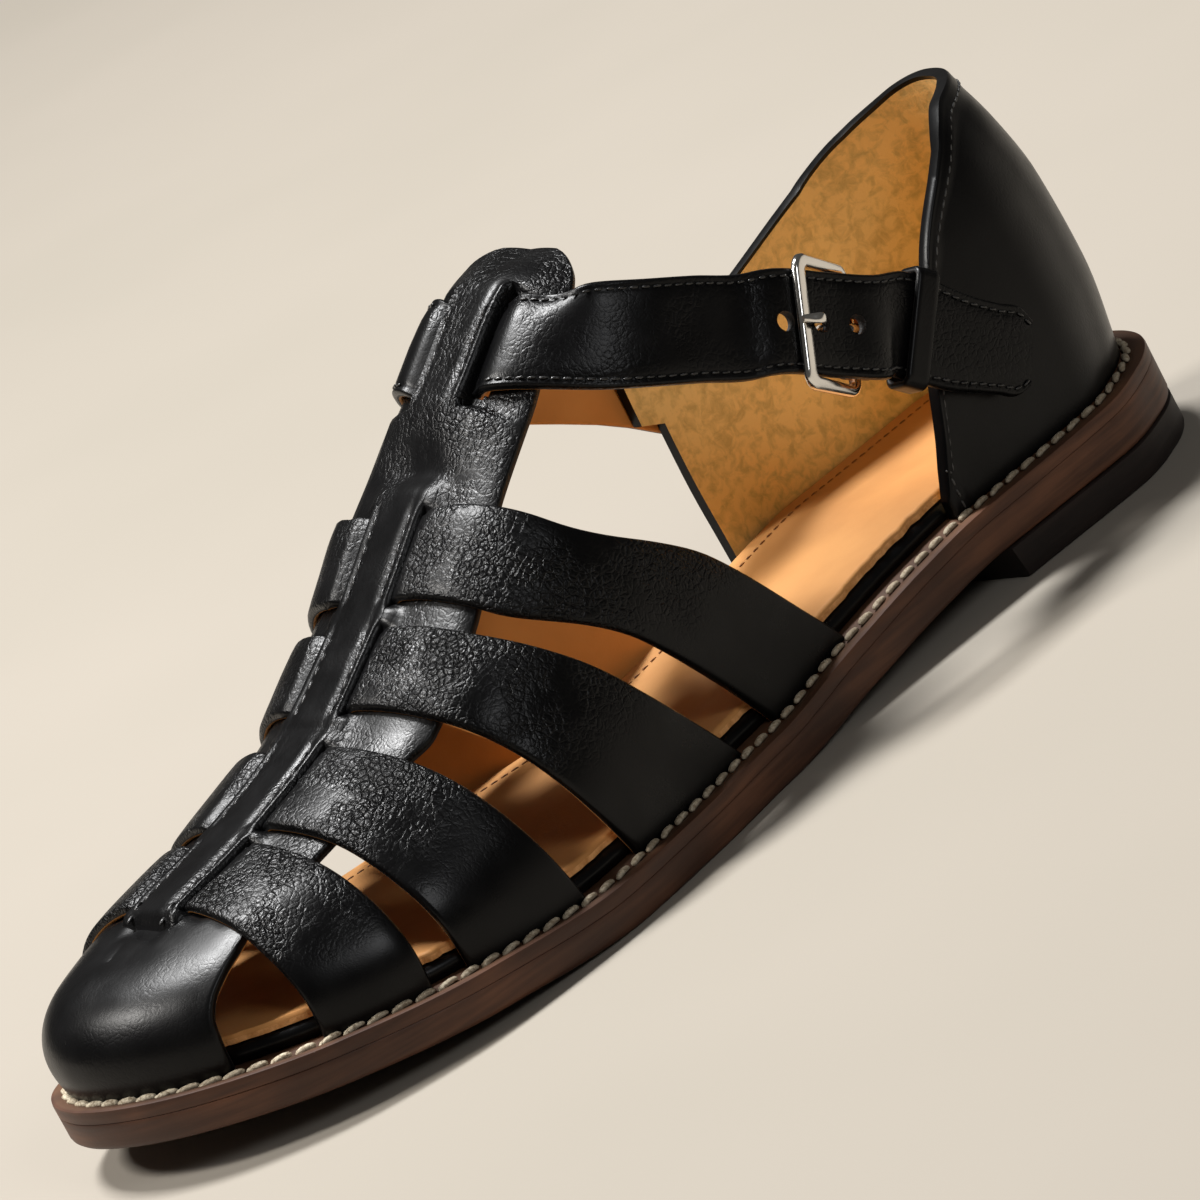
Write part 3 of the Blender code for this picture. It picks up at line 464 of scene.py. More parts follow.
def upper_point(place, across, offset):
    """Point over the foot's form. Across runs from 1 at the outer edge to -1 at the inner edge."""
    turn = float(turn_of(place))
    share = 1 - abs(across)
    side = "outer" if across >= 0 else "inner"
    normal = rib_normal(turn, side, share)
    if share > RIDGE_SHARE:
        normal = rib_normal(turn, "outer", share) + rib_normal(turn, "inner", share)
        normal /= np.linalg.norm(normal)
    point = rib_point(turn, side, share) + offset * normal
    if share < 1e-6:
        point[2] = welt_top(point[0]) + CLEARANCE
    return point


def rib_length(place, side):
    return rib(float(turn_of(place)), side)[1][-1]


def spine_point(place, distance, offset):
    """Point over the foot's form at a distance from the band's middle line, along the rib."""
    distance += BAND_MIDDLE
    side = "outer" if distance >= 0 else "inner"
    return upper_point(place, distance / rib_length(place, side), offset)


def strap_edges(name, share):
    """Places of a woven strap's two edges at a share of the way up."""
    rows = STRAPS[name]
    return follow(rows, "rear", share, "share"), follow(rows, "front", share, "share")


def band_raise(place):
    """How far the band stands up: 1 over a woven strap, lower between two, 0 beyond them."""
    edges = [strap_edges(name, 1.0) for name in STRAPS]
    gap = min(max(rear - place, place - front, 0.0) for rear, front in edges)
    between = edges[0][0] < place < edges[-1][1]
    valley, ramp = (BAND_VALLEY, BAND_RAMP) if between else (0.0, SLIT_RAMP)
    return valley + (1 - valley) * max(1 - gap / ramp, 0.0)


def slit_share(place):
    """1 where the band's edges are slit for a strap, 0 where they run smoothly into the flanges."""
    edges = [strap_edges(name, 1.0) for name in STRAPS] + [ankle_slit()]
    gap = min(max(rear - place, place - front, 0.0) for rear, front in edges)
    return max(1 - gap / SLIT_END, 0.0)


def ankle_middle(distance):
    """Place of the ankle strap's middle line at a distance from the ridge."""
    half = BALL_WIDTH * follow(SPINE, "half_width", ANKLE_PLACE)
    return ANKLE_PLACE - ANKLE_DROP * (distance / half) ** 2


def ankle_slit():
    """Places of the rear and front end of the slits for the ankle strap."""
    half = (ANKLE_STRAP_WIDTH / 2 + 2 * CLEARANCE) / LENGTH / ridge_stretch(ANKLE_PLACE)
    return ankle_middle(BAND_HALF_WIDTH + SLIT_WIDTH) - half, ANKLE_PLACE + half


def ridge_stretch(place):
    """Length along the ridge for a unit of length along the floor."""
    step = 0.01
    rise = INSTEP_HEIGHT * (follow(RIDGE, "height", place + step) - follow(RIDGE, "height", place - step))
    return math.hypot(1, rise / (2 * step * LENGTH))


def quarter_height(share):
    return HEEL_HEIGHT + HEEL_STACK + CLEARANCE + share * (COUNTER_HEIGHT - HEEL_HEIGHT - HEEL_STACK)


def quarter_share(z):
    return (z - quarter_height(0)) / (quarter_height(1) - quarter_height(0))


def quarter_point(turn, side, share):
    """Point on the inside of the quarter at a share of the counter's height."""
    x, y, z = foot_root(turn, side)
    fade = (1 + math.cos(math.pi * min(x / LENGTH / QUARTER_FADE, 1))) / 2
    shift = LENGTH * follow(QUARTER, "back", share, "height") * fade
    width = follow(QUARTER, "width", share, "height")
    base = min(max(share, 0) * 8, 1)
    level = quarter_height(share) + (z - quarter_height(0)) * (1 - base)
    return np.array([x + shift, y * width, level])


def quarter_normal(turn, side, share):
    along = quarter_point(turn + STEP, side, share) - quarter_point(max(turn - STEP, 0), side, share)
    upward = quarter_point(turn, side, share + STEP) - quarter_point(turn, side, share - STEP)
    normal = np.cross(upward, along) * SIDES[side]
    return normal / np.linalg.norm(normal)


def quarter_outside(place, z, side, offset):
    """Point over the quarter's inside at a place and height, offset outward."""
    share = quarter_share(z)
    turns = np.linspace(turn_of(0.08), turn_of(0.42), 30)
    xs = [quarter_point(t, side, share)[0] for t in turns]
    turn = float(np.interp(place * LENGTH, xs, turns))
    return quarter_point(turn, side, share) + offset * quarter_normal(turn, side, share)


def unit(vector):
    return vector / np.linalg.norm(vector)


def buckle_frame_axes():
    """Middle of the strap's inner face under the front bar, and the directions along, across and out."""
    run = unit(np.array(BUCKLE_RUN))
    lean = np.array([0.0, -BUCKLE_LEAN, 1.0])
    across = unit(lean - run * lean.dot(run))
    out = np.cross(run, across)
    face = np.array([LENGTH * BUCKLE_PLACE, BALL_WIDTH * BUCKLE_SIDEWAYS, INSTEP_HEIGHT * BUCKLE_HEIGHT])
    return face - ANKLE_STRAP_THICKNESS * out, run, across, out


def at_buckle(along, across, out):
    start, run, side, outward = buckle_frame_axes()
    return start + along * run + across * side + out * outward


def across_rows(middles, widths, columns=(0.5, 0.25, 0.0, -0.25, -0.5)):
    """Places and heights of points across a strap that follows a line on the quarter."""
    middles = np.array(middles) * np.array([LENGTH, COUNTER_HEIGHT])
    runs = np.gradient(middles, axis=0)
    rows = []
    for middle, run, width in zip(middles, runs, widths):
        square = unit(np.array([-run[1], run[0]])) * np.sign(run[0])
        rows.append([middle + square * width * c for c in columns])
    return rows


def on_quarter(rows, side, offset):
    return [[quarter_outside(x / LENGTH, z, side, QUARTER_WALL + offset) for x, z in row] for row in rows]


def stack_offset():
    """Height of the ankle strap's inner face over the outer quarter, with the tab between."""
    return TAB_THICKNESS + 2 * CLEARANCE


def line_of(rows):
    return list(zip(rows["place"], rows["height"]))


def bar_drop():
    """How far the rear bar's middle lies below the ankle strap's inner face."""
    return BAR_RADIUS + TAB_THICKNESS + 2 * CLEARANCE


def slot_reach():
    """How far the prong's slot reaches from the rear bar's middle."""
    return 1.15 * (BAR_RADIUS + CLEARANCE + TAB_THICKNESS)


def straight_end():
    """Where strap and tab leave the buckle's plane for the quarter, measured from the front bar."""
    return BUCKLE_LENGTH + slot_reach() + TAB_STRAIGHT


def front_bar_out():
    return ANKLE_STRAP_THICKNESS + CLEARANCE + FRONT_BAR_THICKNESS / 2


# Finish of the shoe
BODY = "root"
ORIGIN = Vector((-(HEEL_LENGTH + SOLE_EDGE_ROUND) / 2, 0, 0))
TURNS = np.linspace(0, math.pi, 150)
EDGE_RADIUS = 0.0007
RIM_SHARES = (0.0, 0.08, 0.3, 0.62, 1.0)
STITCH_INSET = 0.0018
CHANNEL_DEPTH = 0.00030
CHANNEL_HALF = 0.00070
SEAM = 0.00008
STRAP_EDGE = 0.0010
INNER_WIDENING = 0.018
UNDER_LEAST = 0.30
FACE_LEAST = 0.45
CHANNEL_STEPS = (-1.6, -0.8, 0.0, 0.8, 1.6)
WAVE_LENGTH = 0.022
WAVE_HEIGHT = 0.00035
UPPER_SEED = 5.0
SMALL_ROUND = 0.0006
STITCH_PROFILE = ((-0.5, 0.35), (-0.40, 0.85), (-0.15, 1.0), (0.15, 1.0), (0.40, 0.85), (0.5, 0.35))
STITCH_ARCH = 0.35
STITCH_FLAT = 0.75
STITCH_SEED = 9.0

# Sole: rounded edges, the welt's stitch groove, the dished insole and its ragged edge
WELT_ROUND = 0.0006
WELT_GROOVE = ((0.0022, 0.0), (0.0030, 0.0002), (0.0038, 0.0006), (0.0050, 0.0006), (0.0060, 0.0001))
WELT_INNER = 0.0075
WELT_STITCH = 0.0046
WELT_STITCH_SHIFT = 0.0012
WELT_STITCH_TOE = (0.86, 0.12)
WELT_STITCH_SINK = 0.00018
WELT_STITCH_END = 0.012
HEEL_ROUND = 0.0009
FOOTBED_ROUND = 0.0021
FOOTBED_MIDDLE = 0.52
DISH_DEPTH = 0.0007
DISH_PLACE = 0.13
DISH_REACH = 0.11
INSOLE_SHARES = (1.0, 0.997, 0.985, 0.96, 0.90, 0.80, 0.65, 0.45, 0.22, 0.0)
INSOLE_DROP = 0.0009
INSOLE_STITCH = 0.0052
INSOLE_STITCH_PLACES = (0.10, 0.93)
INSOLE_STITCH_SHARE = 0.85

# Straps: where they rise over the flange, dip into the band's slits, and crown
WOVEN_WIDTH = 0.022
FLANGE_RUN = 0.006
DIP_REACH = 0.0052
DIP_INSIDE = 0.0030
OVER_START = 0.0200
OVER_RUN = 0.0195
UNDER_START = 0.0038
UNDER_RUN = 0.0046
UNDER_SINK = 0.85
CROWN = 0.0006
WELT_SINK = 0.0002

# Grain of the leather: 1 for full pebbles, with starts and runs of its rises as shares or places
WELT_GRAIN_RISE = (0.16, 0.26)
BAND_GRAIN_FALL = (0.96, 0.22)
BAND_GRAIN = 0.35
SPINE_GRAIN = (0.30, 0.40)
TONGUE_GRAIN = (0.60, 0.06)
MIDDLE_GRAIN = (0.58, 0.03)
MIDDLE_REACH = (0.002, 0.008)
CAP_GRAIN = 0.18
STRAP_GRAIN = 0.28
FAINT_GRAIN = 0.10

# Band: rounding of its lips, groove of its stitches, and where it runs into the toe cap
LIP_RADIUS = 0.0011
BAND_STITCH = 0.0026
GROOVE_DEPTH = 0.00055
GROOVE_HALF = 0.00085
TAIL_START = 0.912
TAIL_END = 0.950
FLANGE_END = 0.890
FLANGE_FADE = 0.022
TAIL_DEPTH = 0.0026
ROOM_RAMP = 0.050
TIP_FLARE = 0.0020
FLARE_REACH = 0.008
FLARE_END = 0.470
BAND_EDGE_MOST = 0.6
SLIT_EDGE_MOST = 0.85
SPREAD_START = 0.3
GROOVE_LEAST = 0.3
GROOVE_FADE = (0.55, 0.03)
FLARE_FADE = 0.07
BAND_STITCH_SINK = 0.00002
CAP_ROUND = 0.0009
CAP_DIP = 0.0009
ROW_STEPS = 7
INNER_ROWS = 6 * ROW_STEPS
OUTER_ROWS = 10 * ROW_STEPS
BAND_ROWS = ((0.455, 0.507), (0.583, 0.637), (0.659, 0.716), (0.741, 0.803), (0.844, 0.925))

# Ankle strap, keeper and buckle
STRIP_ROUND = 0.0008
STRAP_STITCH_LIFT = -0.00008
KEEPER_ROOM = 1.6 * CLEARANCE
KEEPER_SINK = 0.5 * CLEARANCE
FRONT_BAR_FADE = (0.0004, 0.0030)
BUCKLE_SQUARENESS = 0.62
PRONG_SQUARENESS = 0.75
PRONG_TIP = 0.6

# Quarter: turned collar strip with its step and channel, and rows of stations from place to place
HEEL_STATIONS = 0.028
SIDE_STATIONS = 0.03
FRONT_STATIONS = (0.006, 0.009)
COLLAR_STRIP = 0.0046
COLLAR_STEP = 0.00045
COLLAR_STEP_RUN = 0.0006
COLLAR_ROUND = 0.0010
COLLAR_CHANNEL = 0.0012
QUARTER_STITCH_LIFT = 0.00025


def smooth_step(value):
    value = np.clip(value, 0, 1)
    return value * value * (3 - 2 * value)


def rim(distance, radius=EDGE_RADIUS):
    """Share of the full height at a distance from a rounded edge."""
    return math.sqrt(max(0.0, 1 - (1 - min(distance / radius, 1)) ** 2))


def rounded(distance, thickness, radius=EDGE_RADIUS):
    """Heights of the under and upper face of a sheet at a distance from its edge."""
    share = rim(distance, radius)
    return UNDER_LEAST * thickness * (1 - share), thickness * (FACE_LEAST + (1 - FACE_LEAST) * share)


def channel(distance):
    """Depth of the pressed line that a row of stitches lies in."""
    return CHANNEL_DEPTH * math.exp(-((distance - STITCH_INSET) / CHANNEL_HALF) ** 2)


def across_shares(width, count, rows=(STITCH_INSET,), radius=EDGE_RADIUS):
    """Shares across a strip: close together in its rounded edges and at its stitch rows."""
    marks = {radius * s for s in RIM_SHARES}
    for row in rows:
        marks |= {row + CHANNEL_HALF * s for s in CHANNEL_STEPS}
    half = sorted(m / width for m in marks)
    middle = np.linspace(half[-1], 1 - half[-1], count)[1:-1]
    return np.concatenate([half, middle, 1 - np.array(half[::-1])])


def waver(point, size, seed, amount):
    """Slow unevenness, the same each run."""
    place = Vector((float(c) / size for c in point)) + Vector((seed, 2.3 * seed, 0))
    return amount * noise.noise(place)


def make_mesh(name, vertices, faces, materials, indices=None, grain=None, merge=1e-6, angle=50):
    """A piece of the shoe, shaded smooth, that rides on its body."""
    mesh = bpy.data.meshes.new(name)
    mesh.from_pydata([tuple(float(c) for c in v) for v in vertices], [], faces)
    for material in materials:
        mesh.materials.append(material)
    if indices is not None:
        mesh.polygons.foreach_set("material_index", indices)
    if grain is not None:
        layer = mesh.attributes.new("grain", "FLOAT", "POINT")
        layer.data.foreach_set("value", np.array(grain, dtype=float))
    work = bmesh.new()
    work.from_mesh(mesh)
    bmesh.ops.remove_doubles(work, verts=work.verts, dist=merge)
    loose = [v for v in work.verts if not v.link_faces]
    bmesh.ops.delete(work, geom=loose, context="VERTS")
    bmesh.ops.translate(work, verts=work.verts, vec=ORIGIN)
    bmesh.ops.recalc_face_normals(work, faces=work.faces)
    work.to_mesh(mesh)
    work.free()
    mesh.shade_smooth()
    mesh.set_sharp_from_angle(angle=math.radians(angle))
    piece = bpy.data.objects.new(name, mesh)
    bpy.context.collection.objects.link(piece)
    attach(piece, BODY)
    return piece


def grids(rows):
    """Under and upper grid of a sheet, from rows of point pairs."""
    points = np.array(rows, dtype=float)
    return points[:, :, 0], points[:, :, 1]


def shell(name, low, high, materials, slot, present=None, closed=False, grain=None, turned=0):
    """Sheet between two grids. Materials are for the outer face, the inner face and the cut edge.

    The outer leather is turned over the last columns of the inner face. The grain is one value, or a
    value for each point.
    """
    rows, columns = low.shape[:2]
    row_cells = rows if closed else rows - 1
    if present is None:
        present = np.ones((row_cells, columns - 1), dtype=bool)
    vertices = np.concatenate([low.reshape(-1, 3), high.reshape(-1, 3)])
    below = np.arange(rows * columns).reshape(rows, columns)
    above = below + rows * columns
    faces = []
    indices = []

    def is_present(i, j):
        if closed:
            i %= row_cells
        return 0 <= i < row_cells and 0 <= j < columns - 1 and present[i, j]

    for i in range(row_cells):
        after = (i + 1) % rows
        for j in range(columns - 1):
            if not present[i, j]:
                continue
            faces.append((below[i, j], below[i, j + 1], below[after, j + 1], below[after, j]))
            faces.append((above[i, j], above[after, j], above[after, j + 1], above[i, j + 1]))
            indices += [0 if j >= columns - 1 - turned else 1, 0]
            for di, dj, a, b in (
                (-1, 0, (i, j), (i, j + 1)),
                (1, 0, (after, j + 1), (after, j)),
                (0, -1, (after, j), (i, j)),
                (0, 1, (i, j + 1), (after, j + 1)),
            ):
                if not is_present(i + di, j + dj):
                    faces.append((below[a], below[b], above[b], above[a]))
                    indices.append(2)
    faces = [tuple(int(k) for k in face) for face in faces]
    values = None
    if grain is not None:
        values = np.tile(np.broadcast_to(grain, low.shape[:2]).reshape(-1), 2)
    return make_mesh(name, vertices, faces, materials, indices, values, merge=2e-5 if closed else 2e-6)


def stitch_row(name, kind, points, normals, sides=6, uneven=0.06):
    """Rounded stitches at an even pitch along a line that lies on a surface."""
    pitch, length, radius, slant, material, slot = STITCHES[kind]
    points = np.array(points)
    normals = np.array(normals)
    distance = np.concatenate([[0.0], np.cumsum(np.linalg.norm(np.diff(points, axis=0), axis=1))])
    count = max(int(distance[-1] / pitch), 1)
    vertices = []
    faces = []
    for k in range(count):
        at = (k + 0.5) * distance[-1] / count
        middle, ahead, normal = (
            np.array([np.interp(d, distance, grid[:, axis]) for axis in range(3)])
            for d, grid in ((at, points), (at + 0.3 * pitch, points), (at, normals))
        )
        normal = unit(normal)
        run = unit((ahead - middle) - normal * normal.dot(ahead - middle))
        side = np.cross(normal, run)
        change = waver(middle, 0.7 * pitch, STITCH_SEED, uneven)
        run = unit(run + (slant + change) * side)
        side = np.cross(normal, run)
        start = len(vertices)
        for along, size in STITCH_PROFILE:
            arch = (1 - (2 * along) ** 2) * STITCH_ARCH * radius
            for j in range(sides):
                angle = 2 * math.pi * j / sides
                offset = side * math.cos(angle) + normal * STITCH_FLAT * math.sin(angle)
                reach = run * along * length * (1 + change)
                vertices.append(middle + reach + normal * arch + offset * radius * size * (1 - change))
        for i in range(len(STITCH_PROFILE) - 1):
            for j in range(sides):
                a = start + i * sides + j
                b = start + i * sides + (j + 1) % sides
                faces.append((a, b, b + sides, a + sides))
        faces.append(tuple(start + j for j in range(sides)))
        faces.append(tuple(start + (len(STITCH_PROFILE) - 1) * sides + j for j in range(sides)))
    return make_mesh(name, vertices, faces, [material], angle=80)


# Materials
def new_material(name):
    material = bpy.data.materials.new(name)
    material.use_nodes = True
    return material, material.node_tree, material.node_tree.nodes["Principled BSDF"]


def add_node(tree, kind, settings=None, **inputs):
    """Node with its settings, and its inputs by name: a socket is linked, a value is set."""
    node = tree.nodes.new(kind)
    for key, value in (settings or {}).items():
        setattr(node, key, value)
    for key, value in inputs.items():
        socket = node.inputs[key.replace("_", " ")]
        if isinstance(value, bpy.types.NodeSocket):
            tree.links.new(value, socket)
        else:
            socket.default_value = value
    return node


def place_of_surface(tree):
    return add_node(tree, "ShaderNodeTexCoord").outputs["Object"]


def noise_of(tree, scale, detail=3.0, roughness=0.55, distortion=0.0):
    node = add_node(tree, "ShaderNodeTexNoise", Vector=place_of_surface(tree), Scale=scale, Detail=detail,
                    Roughness=roughness, Distortion=distortion)
    return node.outputs["Fac"]


def span(tree, value, low, high, start, end):
    """Value moved from low..high to start..end."""
    node = add_node(tree, "ShaderNodeMapRange", Value=value)
    for name, number in (("From Min", low), ("From Max", high), ("To Min", start), ("To Max", end)):
        node.inputs[name].default_value = number
    return node.outputs["Result"]


def combine(tree, operation, first, second):
    node = add_node(tree, "ShaderNodeMath", {"operation": operation})
    for socket, value in zip(node.inputs, (first, second)):
        if isinstance(value, bpy.types.NodeSocket):
            tree.links.new(value, socket)
        else:
            socket.default_value = value
    return node.outputs[0]


def two_colours(tree, share, first, second):
    node = add_node(tree, "ShaderNodeMix", {"data_type": "RGBA"})
    tree.links.new(share, node.inputs["Factor"])
    for socket, colour in ((node.inputs[6], first), (node.inputs[7], second)):
        if isinstance(colour, bpy.types.NodeSocket):
            tree.links.new(colour, socket)
        else:
            socket.default_value = (*colour, 1.0)
    return node.outputs[2]


def bump(tree, height, strength, distance, below=None):
    inputs = {"Height": height, "Strength": strength, "Distance": distance}
    if below is not None:
        inputs["Normal"] = below
    return add_node(tree, "ShaderNodeBump", **inputs).outputs["Normal"]


def attribute(tree, name):
    return add_node(tree, "ShaderNodeAttribute", {"attribute_name": name}).outputs["Fac"]


def black_leather(name, pebble, gloss):
    """Black leather: soft pebbles where the grain attribute is high, fine pores elsewhere."""
    material, tree, shader = new_material(name)
    link = tree.links.new
    warp = add_node(tree, "ShaderNodeTexNoise", Vector=place_of_surface(tree), Scale=330.0, Detail=2.0)
    shift = add_node(tree, "ShaderNodeVectorMath", {"operation": "SCALE"})
    link(warp.outputs["Color"], shift.inputs[0])
    shift.inputs["Scale"].default_value = 0.0016
    moved = add_node(tree, "ShaderNodeVectorMath", {"operation": "ADD"})
    link(place_of_surface(tree), moved.inputs[0])
    link(shift.outputs[0], moved.inputs[1])
    heights = []
    for scale, crease in ((1300.0, 0.30), (640.0, 0.22)):
        cells = add_node(tree, "ShaderNodeTexVoronoi", {"feature": "DISTANCE_TO_EDGE"},
                         Vector=moved.outputs[0], Scale=scale)
        sharp = span(tree, cells.outputs["Distance"], 0.0, crease, 0.0, 1.0)
        heights.append(combine(tree, "POWER", sharp, 0.6))
    patches = span(tree, noise_of(tree, 75.0), 0.38, 0.6, 0.15, 1.0)
    grain = combine(tree, "MULTIPLY", attribute(tree, "grain"), patches)
    fine = noise_of(tree, 2600.0, 2.0)
    first = bump(tree, fine, 0.08, 0.00012)
    small = combine(tree, "MULTIPLY", combine(tree, "ADD", grain, 0.06), 0.5 * pebble)
    second = bump(tree, heights[0], small, 0.00018, first)
    third = bump(tree, heights[1], combine(tree, "MULTIPLY", grain, 0.8 * pebble), 0.00036, second)
    link(bump(tree, noise_of(tree, 40.0, 2.0), 0.18, 0.0012, third), shader.inputs["Normal"])
    tone = two_colours(tree, span(tree, noise_of(tree, 45.0), 0.35, 0.7, 0.0, 1.0),
                       (0.0012, 0.0012, 0.0014), (0.0030, 0.0029, 0.0032))
    link(tone, shader.inputs["Base Color"])
    dull = span(tree, noise_of(tree, 120.0), 0.3, 0.7, gloss, gloss + 0.10)
    link(combine(tree, "ADD", dull, combine(tree, "MULTIPLY", grain, 0.04)), shader.inputs["Roughness"])
    shader.inputs["Specular IOR Level"].default_value = 0.17
    return material


def plain_finish(name, first, second, scale, roughness, fine_scale, strength, depth, spread=0.08):
    """Two close colours in soft patches over a fine bump."""
    material, tree, shader = new_material(name)
    patches = span(tree, noise_of(tree, scale, 4.0), 0.32, 0.68, 0.0, 1.0)
    tree.links.new(two_colours(tree, patches, first, second), shader.inputs["Base Color"])
    dull = span(tree, noise_of(tree, 3 * scale), 0.3, 0.7, roughness, roughness + spread)
    tree.links.new(dull, shader.inputs["Roughness"])
    tree.links.new(bump(tree, noise_of(tree, fine_scale, 4.0), strength, depth), shader.inputs["Normal"])
    shader.inputs["Specular IOR Level"].default_value = 0.3
    return material


def suede_lining():
    """Olive tan suede with a fine crushed nap, warmer where it is worn smooth, with painted shade in the
    troughs of its wrinkles.
    """
    material, tree, shader = new_material("tan_suede")
    link = tree.links.new
    wrinkles = noise_of(tree, 330.0, 5.0, 0.60, 0.5)
    nap = noise_of(tree, 1500.0, 3.0, 0.7)
    worn = span(tree, noise_of(tree, 24.0, 3.0), 0.40, 0.66, 0.0, 1.0)
    base = two_colours(tree, worn, (0.74, 0.53, 0.205), (0.80, 0.52, 0.180))
    # Painted shade: darker colour where the wrinkles' bump is low, in their troughs.
    crease_shade = span(tree, wrinkles, 0.36, 0.56, 0.0, 1.0)
    link(two_colours(tree, crease_shade, (0.52, 0.37, 0.130), base), shader.inputs["Base Color"])
    shader.inputs["Roughness"].default_value = 0.88
    shader.inputs["Sheen Weight"].default_value = 0.2
    shader.inputs["Sheen Roughness"].default_value = 0.5
    shader.inputs["Sheen Tint"].default_value = (0.9, 0.7, 0.45, 1.0)
    first = bump(tree, nap, 0.40, 0.00025)
    link(bump(tree, wrinkles, 0.45, 0.0006, first), shader.inputs["Normal"])
    return material


def sole_edge(name, dark, light, roughness):
    """Burnished leather edge: thin layers along it, rubbed lighter in patches."""
    material, tree, shader = new_material(name)
    link = tree.links.new
    squeeze = add_node(tree, "ShaderNodeMapping", Vector=place_of_surface(tree))
    squeeze.inputs["Scale"].default_value = (1.0, 1.0, 14.0)
    layers = add_node(tree, "ShaderNodeTexNoise", Vector=squeeze.outputs[0], Scale=42.0, Detail=5.0)
    patches = noise_of(tree, 26.0, 4.0)
    share = combine(tree, "MULTIPLY", span(tree, layers.outputs["Fac"], 0.35, 0.68, 0.25, 1.0),
                    span(tree, patches, 0.36, 0.66, 0.2, 1.0))
    link(two_colours(tree, share, dark, light), shader.inputs["Base Color"])
    link(span(tree, patches, 0.3, 0.7, roughness, roughness + 0.16), shader.inputs["Roughness"])
    first = bump(tree, noise_of(tree, 900.0), 0.12, 0.0002)
    link(bump(tree, layers.outputs["Fac"], 0.20, 0.0006, first), shader.inputs["Normal"])
    shader.inputs["Specular IOR Level"].default_value = 0.3
    return material


def polished_nickel():
    material, tree, shader = new_material("polished_nickel")
    shader.inputs["Base Color"].default_value = (0.78, 0.76, 0.72, 1.0)
    shader.inputs["Metallic"].default_value = 1.0
    tree.links.new(span(tree, noise_of(tree, 160.0), 0.3, 0.7, 0.10, 0.20), shader.inputs["Roughness"])
    tree.links.new(bump(tree, noise_of(tree, 700.0), 0.03, 0.0001), shader.inputs["Normal"])
    return material


def thread(name, colour, shade, roughness, fade=1.0):
    """Twisted thread: bands that run across each stitch, with painted shade in the grooves between them, and
    darker towards the heel by the fade.
    """
    material, tree, shader = new_material(name)
    bands = noise_of(tree, 1400.0, 2.0, 0.5, 0.6)
    # Painted shade: the thread's colour goes to the shade colour where the bands' bump is low, in the grooves
    # between them.
    share = combine(tree, "MULTIPLY", span(tree, bands, 0.36, 0.62, 0.0, 1.0),
                    span(tree, noise_of(tree, 130.0), 0.35, 0.65, 0.45, 1.0))
    along = add_node(tree, "ShaderNodeSeparateXYZ", Vector=place_of_surface(tree)).outputs["X"]
    share = combine(tree, "MULTIPLY", share, span(tree, along, 0.0, LENGTH, fade, 1.0))
    tree.links.new(two_colours(tree, share, shade, colour), shader.inputs["Base Color"])
    shader.inputs["Roughness"].default_value = roughness
    tree.links.new(bump(tree, bands, 0.5, 0.0003), shader.inputs["Normal"])
    return material


GRAINED = black_leather("black_grained_leather", 0.85, 0.25)
SMOOTH = black_leather("black_smooth_leather", 0.45, 0.27)
CUT_EDGE = plain_finish("black_cut_edge", (0.008, 0.008, 0.008), (0.020, 0.018, 0.017),
                        300.0, 0.55, 1200.0, 0.3, 0.0003)
STRAP_LINING = plain_finish("tan_strap_lining", (0.50, 0.205, 0.045), (0.62, 0.27, 0.065),
                            40.0, 0.60, 1400.0, 0.15, 0.0002)
INSOLE_TAN = plain_finish("tan_insole", (0.44, 0.200, 0.060), (0.54, 0.262, 0.084),
                          30.0, 0.60, 1100.0, 0.14, 0.0003)
INSOLE_CUT = plain_finish("tan_insole_edge", (0.42, 0.18, 0.05), (0.70, 0.36, 0.14),
                          500.0, 0.8, 1600.0, 0.6, 0.0005)
SUEDE = suede_lining()
OUTSOLE_EDGE = sole_edge("burnished_sole_edge", (0.034, 0.0145, 0.0085), (0.150, 0.062, 0.031), 0.42)
WELT_TOP = sole_edge("brown_welt", (0.046, 0.021, 0.011), (0.155, 0.072, 0.034), 0.50)
HEEL_DARK = sole_edge("dark_heel", (0.009, 0.0060, 0.0052), (0.024, 0.015, 0.012), 0.50)
UNDERSIDE = plain_finish("sole_underside", (0.045, 0.020, 0.013), (0.085, 0.038, 0.022),
                         35.0, 0.55, 700.0, 0.25, 0.0004)
NICKEL = polished_nickel()
LINED = [GRAINED, STRAP_LINING, CUT_EDGE]
SMOOTH_LINED = [SMOOTH, STRAP_LINING, CUT_EDGE]
PALE_THREAD = thread("pale_welt_thread", (0.72, 0.64, 0.48), (0.26, 0.20, 0.13), 0.75, 0.45)
BLACK_THREAD = thread("black_thread", (0.030, 0.029, 0.029), (0.004, 0.004, 0.004), 0.32)
GREY_THREAD = thread("grey_thread", (0.085, 0.082, 0.078), (0.020, 0.020, 0.020), 0.5)
TAN_THREAD = thread("tan_thread", (0.34, 0.14, 0.04), (0.16, 0.07, 0.02), 0.6)

# Stitches: pitch, length, radius, slant, thread and slot
STITCHES = {
    "welt": (0.0050, 0.0048, 0.00086, 0.24, PALE_THREAD, "welt_leather"),
    "insole": (0.0026, 0.0018, 0.00022, 0.0, TAN_THREAD, "tan_leather"),
    "band": (0.0031, 0.0025, 0.00048, 0.16, BLACK_THREAD, "black_leather"),
    "quarter": (0.0026, 0.0019, 0.00028, 0.1, GREY_THREAD, "black_leather"),
    "strap": (0.0024, 0.0018, 0.00030, 0.1, BLACK_THREAD, "black_leather"),
}


